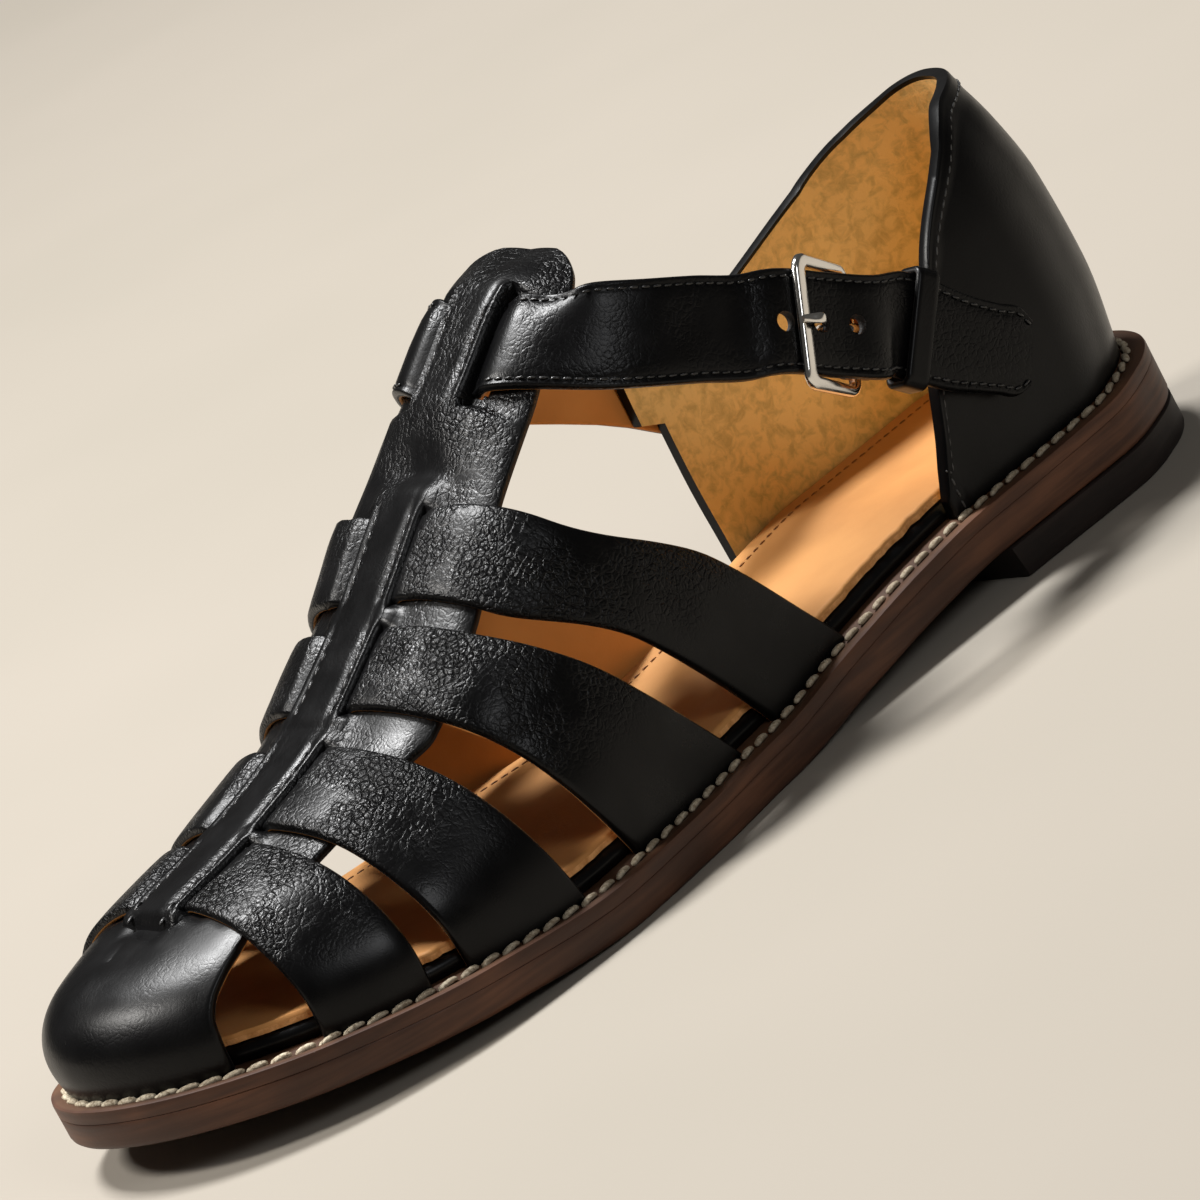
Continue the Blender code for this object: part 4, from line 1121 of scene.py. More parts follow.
# Sole
def layer(name, rings, materials, slot, turns=TURNS, pick=None):
    """Layer of the sole between outline rings. Each ring is an inset and a height function."""
    count = len(turns)
    vertices = []
    for side in SIDES:
        for inset, height, forward in rings:
            for turn in turns:
                x, y = inset_point(turn, side, inset)
                share = place_of(turn) / place_of(turns[-1])
                vertices.append((x + forward * share, y, height(x)))
    outer = np.arange(len(rings) * count).reshape(len(rings), count)
    inner = outer + len(rings) * count
    faces = []
    indices = []
    for k in range(len(rings) - 1):
        kind = 0 if pick is None else pick[k]
        for rows in (outer, inner):
            for i in range(count - 1):
                faces.append((rows[k, i], rows[k, i + 1], rows[k + 1, i + 1], rows[k + 1, i]))
                indices.append(kind)
        faces.append((outer[k, -1], inner[k, -1], inner[k + 1, -1], outer[k + 1, -1]))
        indices.append(kind)
    for k, kind in ((0, len(materials) - 1), (len(rings) - 1, 0 if pick is None else pick[-1])):
        for i in range(count - 1):
            faces.append((outer[k, i], outer[k, i + 1], inner[k, i + 1], inner[k, i]))
            indices.append(kind)
    faces = [tuple(int(i) for i in face) for face in faces]
    return make_mesh(name, vertices, faces, materials, indices, merge=2e-6, angle=40)


def between(low, high, share):
    return lambda x: low(x) + (high(x) - low(x)) * share


def outsole():
    top = lambda x: welt_bottom(x) - SEAM
    r = SOLE_EDGE_ROUND
    rings = [(1.6 * r, under_height, 0), (r, lambda x: under_height(x) + 0.05 * r, 0)]
    for angle in (30, 60, 90):
        turn = math.radians(angle)
        rings.append((r * (1 - math.sin(turn)), lambda x, t=turn: under_height(x) + r * (1 - math.cos(t)), 0))
    rings += [(0.0, between(under_height, top, s), 0) for s in (0.4, 0.6, 0.8, 0.97)]
    rings.append((0.0001, top, 0))
    piece = layer("outsole_edge", rings, [OUTSOLE_EDGE, UNDERSIDE], "sole_leather")
    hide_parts("outsole")


def welt_groove(place):
    """Inset of the welt's stitches from the sole's edge."""
    start, run = WELT_STITCH_TOE
    return WELT_STITCH - WELT_STITCH_SHIFT * smooth_step((place - start) / run)


def welt():
    rings = [(0.0001, welt_bottom, 0)]
    rings += [(0.0, between(welt_bottom, welt_top, s), 0) for s in (0.03, 0.35, 0.7)]
    rims = ((0.25 * WELT_ROUND, 0.00022), (1.2 * WELT_ROUND, 0.00003))
    for inset, drop in rims + WELT_GROOVE:
        rings.append((inset, lambda x, d=drop: welt_top(x) - d, 0))
    rings.append((WELT_INNER, welt_top, 0))
    kinds = [0] * 5 + [1] * (len(rings) - 6)
    piece = layer("welt_strip", rings, [OUTSOLE_EDGE, WELT_TOP], "welt_leather", pick=kinds)
    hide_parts("welt")


def welt_stitches():
    points = []
    turns = np.linspace(WELT_STITCH_END, math.pi, 260)
    for side, row in (("outer", turns), ("inner", np.linspace(math.pi, WELT_STITCH_END, 260))):
        for turn in row:
            x, y = inset_point(turn, side, welt_groove(place_of(turn)))
            points.append((x, y, welt_top(x) - WELT_STITCH_SINK))
    normals = [(0, 0, 1)] * len(points)
    stitch_row("welt_stitches", "welt", points, normals, sides=8, uneven=0.16)


def heel():
    turns = np.linspace(0, turn_of(HEEL_LENGTH / LENGTH), 70)
    r = HEEL_ROUND
    top = HEEL_HEIGHT - CLEARANCE
    levels = [(r, 0.0), (0.3 * r, 0.2 * r), (0.0, 0.9 * r)]
    levels += [(0.0, share * top) for share in (0.4, 0.7, 0.97)] + [(0.3 * r, top)]
    rings = [(inset, lambda x, z=z: z, HEEL_BREAST_SLANT * z / top) for inset, z in levels]
    piece = layer("heel_block", rings, [HEEL_DARK], "heel_rubber", turns)
    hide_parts("heel")


def footbed():
    rim_inset = UPPER_INSET + CLEARANCE
    rings = []
    for angle in range(-40, 91, 13):
        turn = math.radians(angle)
        inset = rim_inset + FOOTBED_ROUND * (1 - math.cos(turn))
        level = FOOTBED_THICKNESS * (FOOTBED_MIDDLE + (1 - FOOTBED_MIDDLE) * math.sin(turn))
        rings.append((inset, lambda x, z=level: welt_top(x) + z, 0))
    rings.insert(0, (rings[0][0] + 0.0003, lambda x: welt_top(x) + CLEARANCE, 0))
    piece = layer("footbed_rim", rings, [SMOOTH], "black_leather")
    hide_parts("footbed")


def insole_height(x, share):
    """Top of the insole: dished a little, most under the heel."""
    place = x / LENGTH
    dish = DISH_DEPTH * (1 + math.exp(-((place - DISH_PLACE) / DISH_REACH) ** 2))
    return welt_top(x) + FOOTBED_THICKNESS + CLEARANCE + INSOLE_THICKNESS - dish * (1 - share ** 2) ** 2


def insole():
    shares = np.concatenate([INSOLE_SHARES, -np.array(INSOLE_SHARES[-2::-1])])
    bottom = FOOTBED_THICKNESS + CLEARANCE
    rows = []
    for turn in np.linspace(0, math.pi, 220):
        spot = (turn * 0.09, 0, 0)
        ragged = waver(spot, 0.0022, 3.0, 0.0011) + waver(spot, 0.0008, 7.0, 0.0004)
        ends = [inset_point(turn, "outer", INSOLE_INSET - 0.0002 + ragged)]
        ends.append(inset_point(turn, "inner", INSOLE_INSET))
        middle = (ends[0] + ends[1]) / 2
        half = (ends[0] - ends[1]) / 2
        width = max(np.linalg.norm(half), 1e-5)
        row = []
        for share in shares:
            x, y = middle + half * share
            drop = INSOLE_DROP * (1 - rim((1 - abs(share)) * width, SMALL_ROUND))
            row.append(((x, y, welt_top(x) + bottom), (x, y, insole_height(x, share) - drop)))
        rows.append(row)
    finishes = [INSOLE_TAN, INSOLE_TAN, INSOLE_CUT]
    piece = shell("insole_sheet", *grids(rows), finishes, "tan_leather")
    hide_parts("insole")
    points = []
    start, end = (turn_of(place) for place in INSOLE_STITCH_PLACES)
    for turn in np.linspace(start, end, 240):
        x, y = inset_point(turn, "inner", INSOLE_INSET + INSOLE_STITCH)
        points.append((x, y, insole_height(x, INSOLE_STITCH_SHARE) + 0.00005))
    stitch_row("insole_stitches", "insole", points, [(0, 0, 1)] * len(points))


# Front of the upper
def shaped(place, across, bottom, top, seed):
    """Under and upper point of the upper at a place, a little uneven as leather is."""
    base = upper_point(place, across, bottom)
    face = upper_point(place, across, top)
    lift = waver(base, WAVE_LENGTH, seed, WAVE_HEIGHT)
    return base, face + (face - base) * (lift / max(top - bottom, 0.0015))


def grain_on_strap(share):
    """Grain is strong on the upper half of a strap, and pulled smooth by the welt and the band."""
    low, rise = WELT_GRAIN_RISE
    top, fall = BAND_GRAIN_FALL
    near_band = BAND_GRAIN + (1 - BAND_GRAIN) * smooth_step((top - share) / fall)
    return smooth_step((share - low) / rise) * near_band


def woven_strap(name, seed):
    """Strap from welt to welt, over the flanges and into the slits at the band's edges."""
    middle = float(np.mean(strap_edges(name, 0.7)))
    flange = spine_half(middle)
    shares = across_shares(WOVEN_WIDTH, 9, rows=(), radius=STRAP_EDGE)
    rows = []
    grain = []
    for side, sign in SIDES.items():
        length = rib_length(middle, side)
        shift = sign * BAND_MIDDLE
        free = np.linspace(length - shift, flange + FLANGE_RUN, 30)
        laid = np.linspace(flange + 0.005, BAND_HALF_WIDTH + FLANGE_RUN, 12)
        dip = np.linspace(BAND_HALF_WIDTH + DIP_REACH, BAND_HALF_WIDTH - DIP_INSIDE, 13)
        reach = np.concatenate([free, laid, dip])
        reach = np.append(reach, -shift) if side == "outer" else reach[::-1]
        for from_band in reach:
            distance = from_band + shift
            over = smooth_step((flange + OVER_START - from_band) / OVER_RUN)
            under = smooth_step((BAND_HALF_WIDTH + UNDER_START - from_band) / UNDER_RUN)
            base = FLANGE_WALL * over * (1 - UNDER_SINK * under)
            share = 1 - distance / length
            rear, front = strap_edges(name, share)
            if name == "third" and side == "inner":
                rear -= INNER_WIDENING * smooth_step(1 - abs(share - 0.2) / 0.25)
            width = (front - rear) * LENGTH
            row = []
            for v in shares:
                edge = min(v, 1 - v) * width
                under_face, upper_face = rounded(edge, UPPER_WALL, STRAP_EDGE)
                crown = CROWN * (1 - (2 * v - 1) ** 4) * (1 - 0.5 * over)
                row.append(shaped(rear + (front - rear) * v, sign * distance / length,
                                  base + under_face, base + upper_face + crown, seed))
            if share < 1e-6:
                for pair in row:
                    for point in pair:
                        point[2] = welt_top(point[0]) - WELT_SINK
            rows.append(row)
            grain.append([grain_on_strap(share)])
    return shell("strap_" + name, *grids(rows), LINED, "black_leather", grain=grain)


def spine_half(place):
    return BALL_WIDTH * follow(SPINE, "half_width", place)


def tunnel_room(place):
    """Height of the room under the band for the ankle strap."""
    rear, front = ankle_slit()
    gap = max(rear - place, place - front, 0.0)
    return smooth_step(1 - gap / ROOM_RAMP) * (ANKLE_STRAP_THICKNESS + 4 * CLEARANCE)


def band_rise(place):
    """Height of the band over the flanges, without the room for the ankle strap."""
    return BAND_RAISE * smooth_step(1.5 * band_raise(place))


def spine_top(place, distance):
    """Height of the spine's upper face at a distance from the band's middle line."""
    half = spine_half(place)
    edge = min(BAND_HALF_WIDTH, BAND_EDGE_MOST * half)
    room = tunnel_room(place)
    rise = band_rise(place)
    slit = smooth_step(slit_share(place))
    inward = edge - abs(distance)
    flat = SPREAD_START * edge
    spread = smooth_step(1 - (abs(distance) - flat) / (half - flat))
    if inward > 0:
        plain = rise * (BAND_SHOULDER + (1 - BAND_SHOULDER) * rim(inward, BAND_EDGE_MOST * edge))
        lipped = (room + rise) * rim(inward, LIP_RADIUS)
    else:
        plain = rise * BAND_SHOULDER * smooth_step(1 + inward / SLIT_WIDTH)
        lipped = 0.0
    start, run = GROOVE_FADE
    groove = GROOVE_DEPTH * math.exp(-((inward - BAND_STITCH) / GROOVE_HALF) ** 2)
    groove *= max(slit, GROOVE_LEAST * smooth_step((place - start) / run))
    flare = TIP_FLARE * math.tanh(max(-distance, 0) / FLARE_REACH)
    flare *= smooth_step((FLARE_END - place) / FLARE_FADE)
    top = (plain + room * spread) * (1 - slit) + lipped * slit
    return FLANGE_WALL + flare + top - groove * min(rise + room, BAND_RAISE) / BAND_RAISE


def spine():
    """Band and flanges from the tongue's tip to the toe cap, slit at the ankle strap."""
    rear, front = ankle_slit()
    start = SPINE["place"][0]
    places = list(np.linspace(start, start + 0.03, 16)) + list(np.linspace(start + 0.033, TAIL_END, 200))
    places = sorted(set(places) | {rear, front})
    rows = []
    grain = []
    for place in places:
        half = spine_half(place)
        edge = min(BAND_HALF_WIDTH, BAND_EDGE_MOST * half)
        slit = min(edge + SLIT_WIDTH, SLIT_EDGE_MOST * half)
        room = tunnel_room(place)
        tail = smooth_step((place - TAIL_START) / (TAIL_END - TAIL_START))
        flange_tail = smooth_step((place - FLANGE_END) / FLANGE_FADE)
        distances = [half - EDGE_RADIUS * s for s in RIM_SHARES]
        distances += [half + (slit - half) * s for s in (0.25, 0.5, 0.75)]
        distances += [slit + (edge - slit) * s for s in (0.0, 0.25, 0.5, 0.75)]
        distances += [edge + 0.0002, edge, edge - 0.00005]
        distances += [edge - LIP_RADIUS * s for s in (0.12, 0.3, 0.6, 1.0)]
        distances += [edge - BAND_STITCH - GROOVE_HALF * s for s in (-0.8, 0.0, 0.8, 1.6)]
        distances += [edge * 0.42, edge * 0.22]
        distances = distances + [0.0] + [-d for d in reversed(distances)]
        row = []
        for distance in distances:
            inward = edge - abs(distance)
            sink = TAIL_DEPTH * max(tail, flange_tail * smooth_step(-inward / 0.003))
            top = spine_top(place, distance) - sink
            border = min(rim(half - abs(distance)), 0.25 + 0.75 * rim((place - start) * LENGTH, 0.0009))
            bottom = room if inward > -0.00001 else max(top - FLANGE_WALL, 0.0)
            top = top * (FACE_LEAST + (1 - FACE_LEAST) * border)
            full = distance + BAND_MIDDLE
            across = full / rib_length(place, "outer" if full >= 0 else "inner")
            row.append(shaped(place, across, min(bottom, top - SMALL_ROUND), top, UPPER_SEED))
        rows.append(row)
        creased = SPINE_GRAIN[0] + SPINE_GRAIN[1] * smooth_step((TONGUE_GRAIN[0] - place) / TONGUE_GRAIN[1])
        least = BAND_GRAIN + (1 - BAND_GRAIN) * smooth_step((MIDDLE_GRAIN[0] - place) / MIDDLE_GRAIN[1])
        away = [smooth_step((abs(d) - MIDDLE_REACH[0]) / MIDDLE_REACH[1] + 0.25) for d in distances]
        grain.append([creased * (least + (1 - least) * share) for share in away])
    columns = len(distances)
    present = np.ones((len(places) - 1, columns - 1), dtype=bool)
    cut = (len(RIM_SHARES) + 3, len(RIM_SHARES) + 8)
    slit_columns = [j for j in range(columns - 1) if cut[0] <= min(j, columns - 2 - j) < cut[1]]
    for i in range(len(places) - 1):
        for j in slit_columns:
            middle = ankle_middle((distances[j] + distances[j + 1]) / 2)
            if abs((places[i] + places[i + 1]) / 2 - middle) < front - ANKLE_PLACE:
                present[i, j] = False
    finishes = [GRAINED, CUT_EDGE, CUT_EDGE]
    return shell("spine_and_tongue", *grids(rows), finishes, "black_leather", present, grain=grain)


def band_stitches():
    """Two rows of black stitches on the band over each strap and at the tongue's slits."""
    for k, (start, end) in enumerate(BAND_ROWS):
        for sign in (1, -1):
            points = []
            normals = []
            distance = sign * (BAND_HALF_WIDTH - BAND_STITCH)
            for place in np.linspace(start, end, 30):
                top = spine_top(place, distance) - BAND_STITCH_SINK
                points.append(spine_point(place, distance, top))
                normals.append(spine_point(place, distance, top + 0.001) - points[-1])
            side = "outer" if sign > 0 else "inner"
            stitch_row("band_stitches_%d_%s" % (k + 1, side), "band", points, normals)


def toe_cap():
    columns = np.concatenate([np.linspace(1, 0, 46), np.linspace(0, -1, 46)[1:]])
    edge_steps = [0.0, 0.004, 0.012, 0.025, 0.05]
    steps = np.concatenate([edge_steps, np.linspace(0.09, 0.90, 24), [0.93, 0.955, 0.975, 0.99, 1.0]])
    low = np.zeros((len(steps), len(columns), 3))
    high = np.zeros_like(low)
    for j, across in enumerate(columns):
        share = 1 - abs(across)
        start = turn_of(follow(CAP_EDGE, "place", share, "share"))
        for i, step in enumerate(steps):
            turn = start + (math.pi - start) * step
            place = place_of(turn)
            run = (place - place_of(start)) * LENGTH
            under_face, upper_face = rounded(run, UPPER_WALL, CAP_ROUND)
            side = "outer" if across >= 0 else "inner"
            from_band = across * rib_length(place, side) - BAND_MIDDLE
            border = spine_half(place)
            border += (BAND_HALF_WIDTH - border) * smooth_step((place - FLANGE_END) / FLANGE_FADE)
            hidden = smooth_step((border - abs(from_band)) / 0.004)
            dip = CAP_DIP * hidden * smooth_step((TAIL_END - place) / 0.02)
            low[i, j], high[i, j] = shaped(place, across, under_face, upper_face - dip, UPPER_SEED)
            if share < 1e-6:
                low[i, j, 2] = high[i, j, 2] = welt_top(high[i, j, 0]) - WELT_SINK
    for grid in (low, high):
        grid[-1] = (grid[-1] + grid[-1, ::-1]) / 2
    return shell("toe_cap", low, high, SMOOTH_LINED, "black_leather", grain=CAP_GRAIN)


def front_of_upper():
    pieces = [woven_strap(name, 11.0 + 3 * k) for k, name in enumerate(STRAPS)]
    pieces += [spine(), toe_cap()]
    for piece in pieces:
        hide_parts("upper_front")
    band_stitches()


# Quarter
def collar_height(turn, side):
    collar = OUTER_COLLAR if side == "outer" else INNER_COLLAR
    return COUNTER_HEIGHT * follow(collar, "height", place_of(turn))


def quarter_stations():
    outer_end, inner_end = OUTER_COLLAR["place"][-1], INNER_COLLAR["place"][-1]
    near, far = (outer_end - reach for reach in FRONT_STATIONS)
    outer = np.concatenate([np.linspace(outer_end, near, 5), np.linspace(far, SIDE_STATIONS, 60)])
    inner = np.linspace(SIDE_STATIONS, INNER_TAB_START, 64)
    heel_turns = np.linspace(turn_of(HEEL_STATIONS), 0, 16)
    stations = [(float(turn_of(p)), "outer") for p in outer]
    stations += [(float(t), "outer") for t in heel_turns]
    stations += [(float(t), "inner") for t in heel_turns[::-1][1:]]
    stations += [(float(turn_of(p)), "inner") for p in inner]
    stations += [(float(turn_of(p)), "inner") for p in np.linspace(INNER_TAB_START, inner_end, 7)[1:]]
    return stations


def quarter_face(turn, side, share):
    """Inner point and outward direction of the quarter."""
    return quarter_point(turn, side, share), quarter_normal(turn, side, share)


def quarter():
    stations = quarter_stations()
    shares = np.concatenate([np.linspace(0, 0.9, 24), [0.925, 0.945, 0.96, 0.975, 0.985, 0.993, 1.0]])
    low = np.zeros((len(stations), len(shares), 3))
    high = np.zeros_like(low)
    front_x = quarter_point(*stations[0], 0)[0]
    for i, (turn, side) in enumerate(stations):
        top = quarter_share(collar_height(turn, side))
        for j, share in enumerate(shares):
            inside, out = quarter_face(turn, side, share * top)
            below_edge = (1 - share) * top * COUNTER_HEIGHT
            thickness = QUARTER_WALL + waver(inside, 0.03, 2.0, 0.0004)
            front = front_x - inside[0] if side == "outer" else 1.0
            inset = min(below_edge, max(front, 0) + 0.0001)
            thickness += COLLAR_STEP * (1 - smooth_step((inset - COLLAR_STRIP) / COLLAR_STEP_RUN))
            thickness -= 0.8 * channel(inset - COLLAR_CHANNEL)
            thickness *= FACE_LEAST + (1 - FACE_LEAST) * rim(inset, COLLAR_ROUND)
            low[i, j] = inside
            high[i, j] = inside + out * thickness
        high[i, 0, 2] = max(high[i, 0, 2], low[i, 0, 2])
    present = np.ones((len(stations) - 1, len(shares) - 1), dtype=bool)
    present[-6:, : int(0.5 * len(shares))] = False
    piece = shell("quarter_leather", low, high, [SMOOTH, SUEDE, SMOOTH], "black_leather", present,
                  grain=FAINT_GRAIN, turned=2)
    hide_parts("quarter")
    edge_stitches()


def edge_stitches():
    """Row of stitches a few millimetres inside the collar and down the outer front edge."""
    points = []
    normals = []
    inset = STITCH_INSET + COLLAR_CHANNEL
    front = OUTER_COLLAR["place"][-1] - inset / LENGTH
    for share in np.linspace(0.02, 0.85, 12):
        turn = float(turn_of(front))
        top = quarter_share(collar_height(turn, "outer"))
        inside, out = quarter_face(turn, "outer", share * top)
        points.append(inside + out * (QUARTER_WALL + QUARTER_STITCH_LIFT))
        normals.append(out)
    for turn, side in quarter_stations():
        if side == "outer" and place_of(turn) > front:
            continue
        top = quarter_share(collar_height(turn, side) - 1.25 * inset)
        inside, out = quarter_face(turn, side, top)
        points.append(inside + out * (QUARTER_WALL + QUARTER_STITCH_LIFT))
        normals.append(out)
    stitch_row("quarter_stitches", "quarter", points, normals)


# Ankle strap and what lies on it
def smooth_rows(rows, steps):
    """Rows of points with extra rows between them, on a smooth curve through all."""
    rows = np.array(rows)
    middle = rows.mean(axis=1)
    at = np.concatenate([[0.0], np.cumsum(np.linalg.norm(np.diff(middle, axis=0), axis=1))])
    slopes = np.zeros_like(rows)
    step = np.diff(at)[:, None, None]
    chords = np.diff(rows, axis=0) / step
    slopes[1:-1] = (chords[:-1] * step[1:] + chords[1:] * step[:-1]) / (step[1:] + step[:-1])
    slopes[0] = chords[0]
    slopes[-1] = chords[-1]
    result = []
    for i in range(len(rows) - 1):
        for t in np.linspace(0, 1, steps, endpoint=False):
            reach = step[i]
            result.append(
                rows[i] * (1 + 2 * t) * (1 - t) ** 2 + rows[i + 1] * t * t * (3 - 2 * t)
                + slopes[i] * reach * t * (1 - t) ** 2 - slopes[i + 1] * reach * t * t * (1 - t)
            )
    result.append(rows[-1])
    return np.array(result)


def strip(low, high, shares):
    """Grids of a strip resampled across, with rounded edges and stitch channels."""
    width = np.linalg.norm(high[:, 0] - high[:, -1], axis=1)
    marks = np.linspace(0, 1, low.shape[1])
    new_low = np.zeros((len(low), len(shares), 3))
    new_high = np.zeros_like(new_low)
    for i in range(len(low)):
        for j, v in enumerate(shares):
            under = np.array([np.interp(v, marks, low[i, :, a]) for a in range(3)])
            upper = np.array([np.interp(v, marks, high[i, :, a]) for a in range(3)])
            edge = min(v, 1 - v) * width[i]
            share = rim(edge, STRIP_ROUND)
            out = upper - under
            thickness = np.linalg.norm(out)
            out /= thickness
            new_low[i, j] = under + out * 0.25 * thickness * (1 - share)
            rise = thickness * (FACE_LEAST + (1 - FACE_LEAST) * share)
            new_high[i, j] = under + out * (rise - channel(edge))
    return new_low, new_high


def strap_grids():
    """Under and upper rows of the ankle strap."""
    thick = ANKLE_STRAP_THICKNESS
    columns = np.linspace(0.5, -0.5, 5)
    low = []
    high = []
    lines = line_of(STRAP_ON_INNER)
    rows = across_rows(lines, [ANKLE_STRAP_WIDTH] * len(lines))
    low += on_quarter(rows, "inner", CLEARANCE)
    high += on_quarter(rows, "inner", CLEARANCE + thick)
    half = BALL_WIDTH * follow(SPINE, "half_width", ANKLE_PLACE)
    inside = BAND_HALF_WIDTH + STEP_WIDTH / 2
    outside = BAND_HALF_WIDTH + SLIT_WIDTH + CLEARANCE
    over = FLANGE_WALL + 2 * CLEARANCE
    lifts = ((half, over), ((half + outside) / 2, over), (outside, over), (inside, CLEARANCE))
    lifts = [(-d, lift) for d, lift in lifts] + [(0.0, CLEARANCE)] + [(d, lift) for d, lift in lifts[:0:-1]]
    spread = ANKLE_STRAP_WIDTH / LENGTH / ridge_stretch(ANKLE_PLACE)
    for distance, lift in lifts:
        places = [ankle_middle(distance) - spread * c for c in columns]
        low.append([spine_point(p, distance, lift) for p in places])
        high.append([spine_point(p, distance, lift + thick) for p in places])
    for i, place in enumerate(STRAP_FREE["place"]):
        middle = np.array([
            LENGTH * place,
            BALL_WIDTH * STRAP_FREE["sideways"][i],
            INSTEP_HEIGHT * STRAP_FREE["height"][i],
        ])
        run = unit(np.array([FREE_BACK, STRAP_FREE["aside"][i], FREE_DOWN]))
        square = np.array([0.0, -STRAP_FREE["lean"][i], 1.0])
        square = unit(square - run * square.dot(run))
        out = np.cross(run, square)
        high.append([middle + square * ANKLE_STRAP_WIDTH * c for c in columns])
        low.append([middle + square * ANKLE_STRAP_WIDTH * c - out * thick for c in columns])
    for along in (HOLE_PLACE - 1.4 * HOLE_PITCH, HOLE_PLACE + 0.5 * HOLE_PITCH, straight_end()):
        low.append([at_buckle(along, ANKLE_STRAP_WIDTH * c, 0) for c in columns])
        high.append([at_buckle(along, ANKLE_STRAP_WIDTH * c, thick) for c in columns])
    widths = ANKLE_STRAP_WIDTH * STRAP_ON_OUTER["width"]
    rows = across_rows(line_of(STRAP_ON_OUTER), widths)
    low += on_quarter(rows, "outer", stack_offset())
    high += on_quarter(rows, "outer", stack_offset() + thick)
    return np.array(low), np.array(high)


def punched(piece, holes):
    """The piece with round holes cut through it."""
    for middle in holes:
        run, across, out = buckle_frame_axes()[1:]
        angles = np.linspace(0, 2 * math.pi, 33)[:-1]
        ring = [HOLE_DIAMETER / 2 * (run * math.cos(a) + across * math.sin(a)) for a in angles]
        reach = 2 * ANKLE_STRAP_THICKNESS * out
        mesh = bpy.data.meshes.new("hole")
        vertices = [middle + p - reach for p in ring] + [middle + p + reach for p in ring]
        faces = [tuple(range(31, -1, -1)), tuple(range(32, 64))]
        faces += [(i, (i + 1) % 32, (i + 1) % 32 + 32, i + 32) for i in range(32)]
        mesh.from_pydata([Vector(v) + ORIGIN for v in vertices], [], faces)
        work = bmesh.new()
        work.from_mesh(mesh)
        bmesh.ops.recalc_face_normals(work, faces=work.faces)
        work.to_mesh(mesh)
        work.free()
        mesh.materials.append(CUT_EDGE)
        cutter = bpy.data.objects.new("hole", mesh)
        bpy.context.collection.objects.link(cutter)
        modifier = piece.modifiers.new("hole", "BOOLEAN")
        modifier.operation = "DIFFERENCE"
        modifier.object = cutter
        done = bpy.data.meshes.new_from_object(piece.evaluated_get(bpy.context.evaluated_depsgraph_get()))
        piece.modifiers.clear()
        piece.data = done
        bpy.data.objects.remove(cutter)
    piece.data.shade_smooth()
    piece.data.set_sharp_from_angle(angle=math.radians(50))


def row_along(low, high, inset, lift=0.0):
    """Line on the upper face, from the first edge by a positive inset, from the last by a negative."""
    points = []
    normals = []
    for under, upper in zip(low, high):
        a, b = (upper[0], upper[-1]) if inset > 0 else (upper[-1], upper[0])
        width = np.linalg.norm(a - b)
        share = abs(inset) / width
        column = share * (len(upper) - 1)
        column = column if inset > 0 else len(upper) - 1 - column
        at = [np.interp(column, range(len(upper)), upper[:, k]) for k in range(3)]
        base = [np.interp(column, range(len(upper)), under[:, k]) for k in range(3)]
        normal = unit(np.array(at) - np.array(base))
        points.append(np.array(at) + normal * lift)
        normals.append(normal)
    return points, normals


def ankle_strap():
    low, high = (smooth_rows(rows, ROW_STEPS) for rows in strap_grids())
    shares = across_shares(ANKLE_STRAP_WIDTH, 9)
    fine = strip(low, high, shares)
    piece = shell("ankle_strap_leather", *fine, LINED, "black_leather", grain=STRAP_GRAIN)
    holes = [at_buckle(HOLE_PLACE + i * HOLE_PITCH, 0, ANKLE_STRAP_THICKNESS / 2) for i in (-1, 0, 1)]
    punched(piece, holes)
    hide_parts("ankle_strap")
    for name, rows in (("inner", slice(0, INNER_ROWS)), ("outer", slice(OUTER_ROWS, len(low) - 1))):
        for side, inset in (("upper", STITCH_INSET), ("lower", -STITCH_INSET)):
            points, normals = row_along(low[rows], high[rows], inset, STRAP_STITCH_LIFT)
            stitch_row("strap_stitches_%s_%s" % (name, side), "strap", points, normals)


def tab_grids():
    near = BAR_RADIUS + CLEARANCE
    far = near + TAB_THICKNESS
    columns = (0.5, 0.12, -0.12, -0.5)
    slot = slot_reach()
    profile = [(slot + TAB_UNDER, -1.0), (slot, -1.0), (0.0, -1.0)]
    profile += [(-math.cos(a), math.sin(a)) for a in np.radians(range(-75, 76, 15))]
    profile += [(0.0, 1.0), (slot, 1.0), (straight_end() - BUCKLE_LENGTH, 1.0)]
    low = []
    high = []
    for along, out in profile:
        folded = abs(out) < 1
        for grid, radius in ((low, near), (high, far)):
            run = BUCKLE_LENGTH + (along * radius if folded else along)
            grid.append([at_buckle(run, TAB_WIDTH * c, out * radius - bar_drop()) for c in columns])
    rows = across_rows(line_of(TAB_ON_OUTER), TAB_WIDTH * TAB_ON_OUTER["width"], columns)
    low += on_quarter(rows, "outer", CLEARANCE)
    high += on_quarter(rows, "outer", CLEARANCE + TAB_THICKNESS)
    return np.array(low), np.array(high), len(profile)


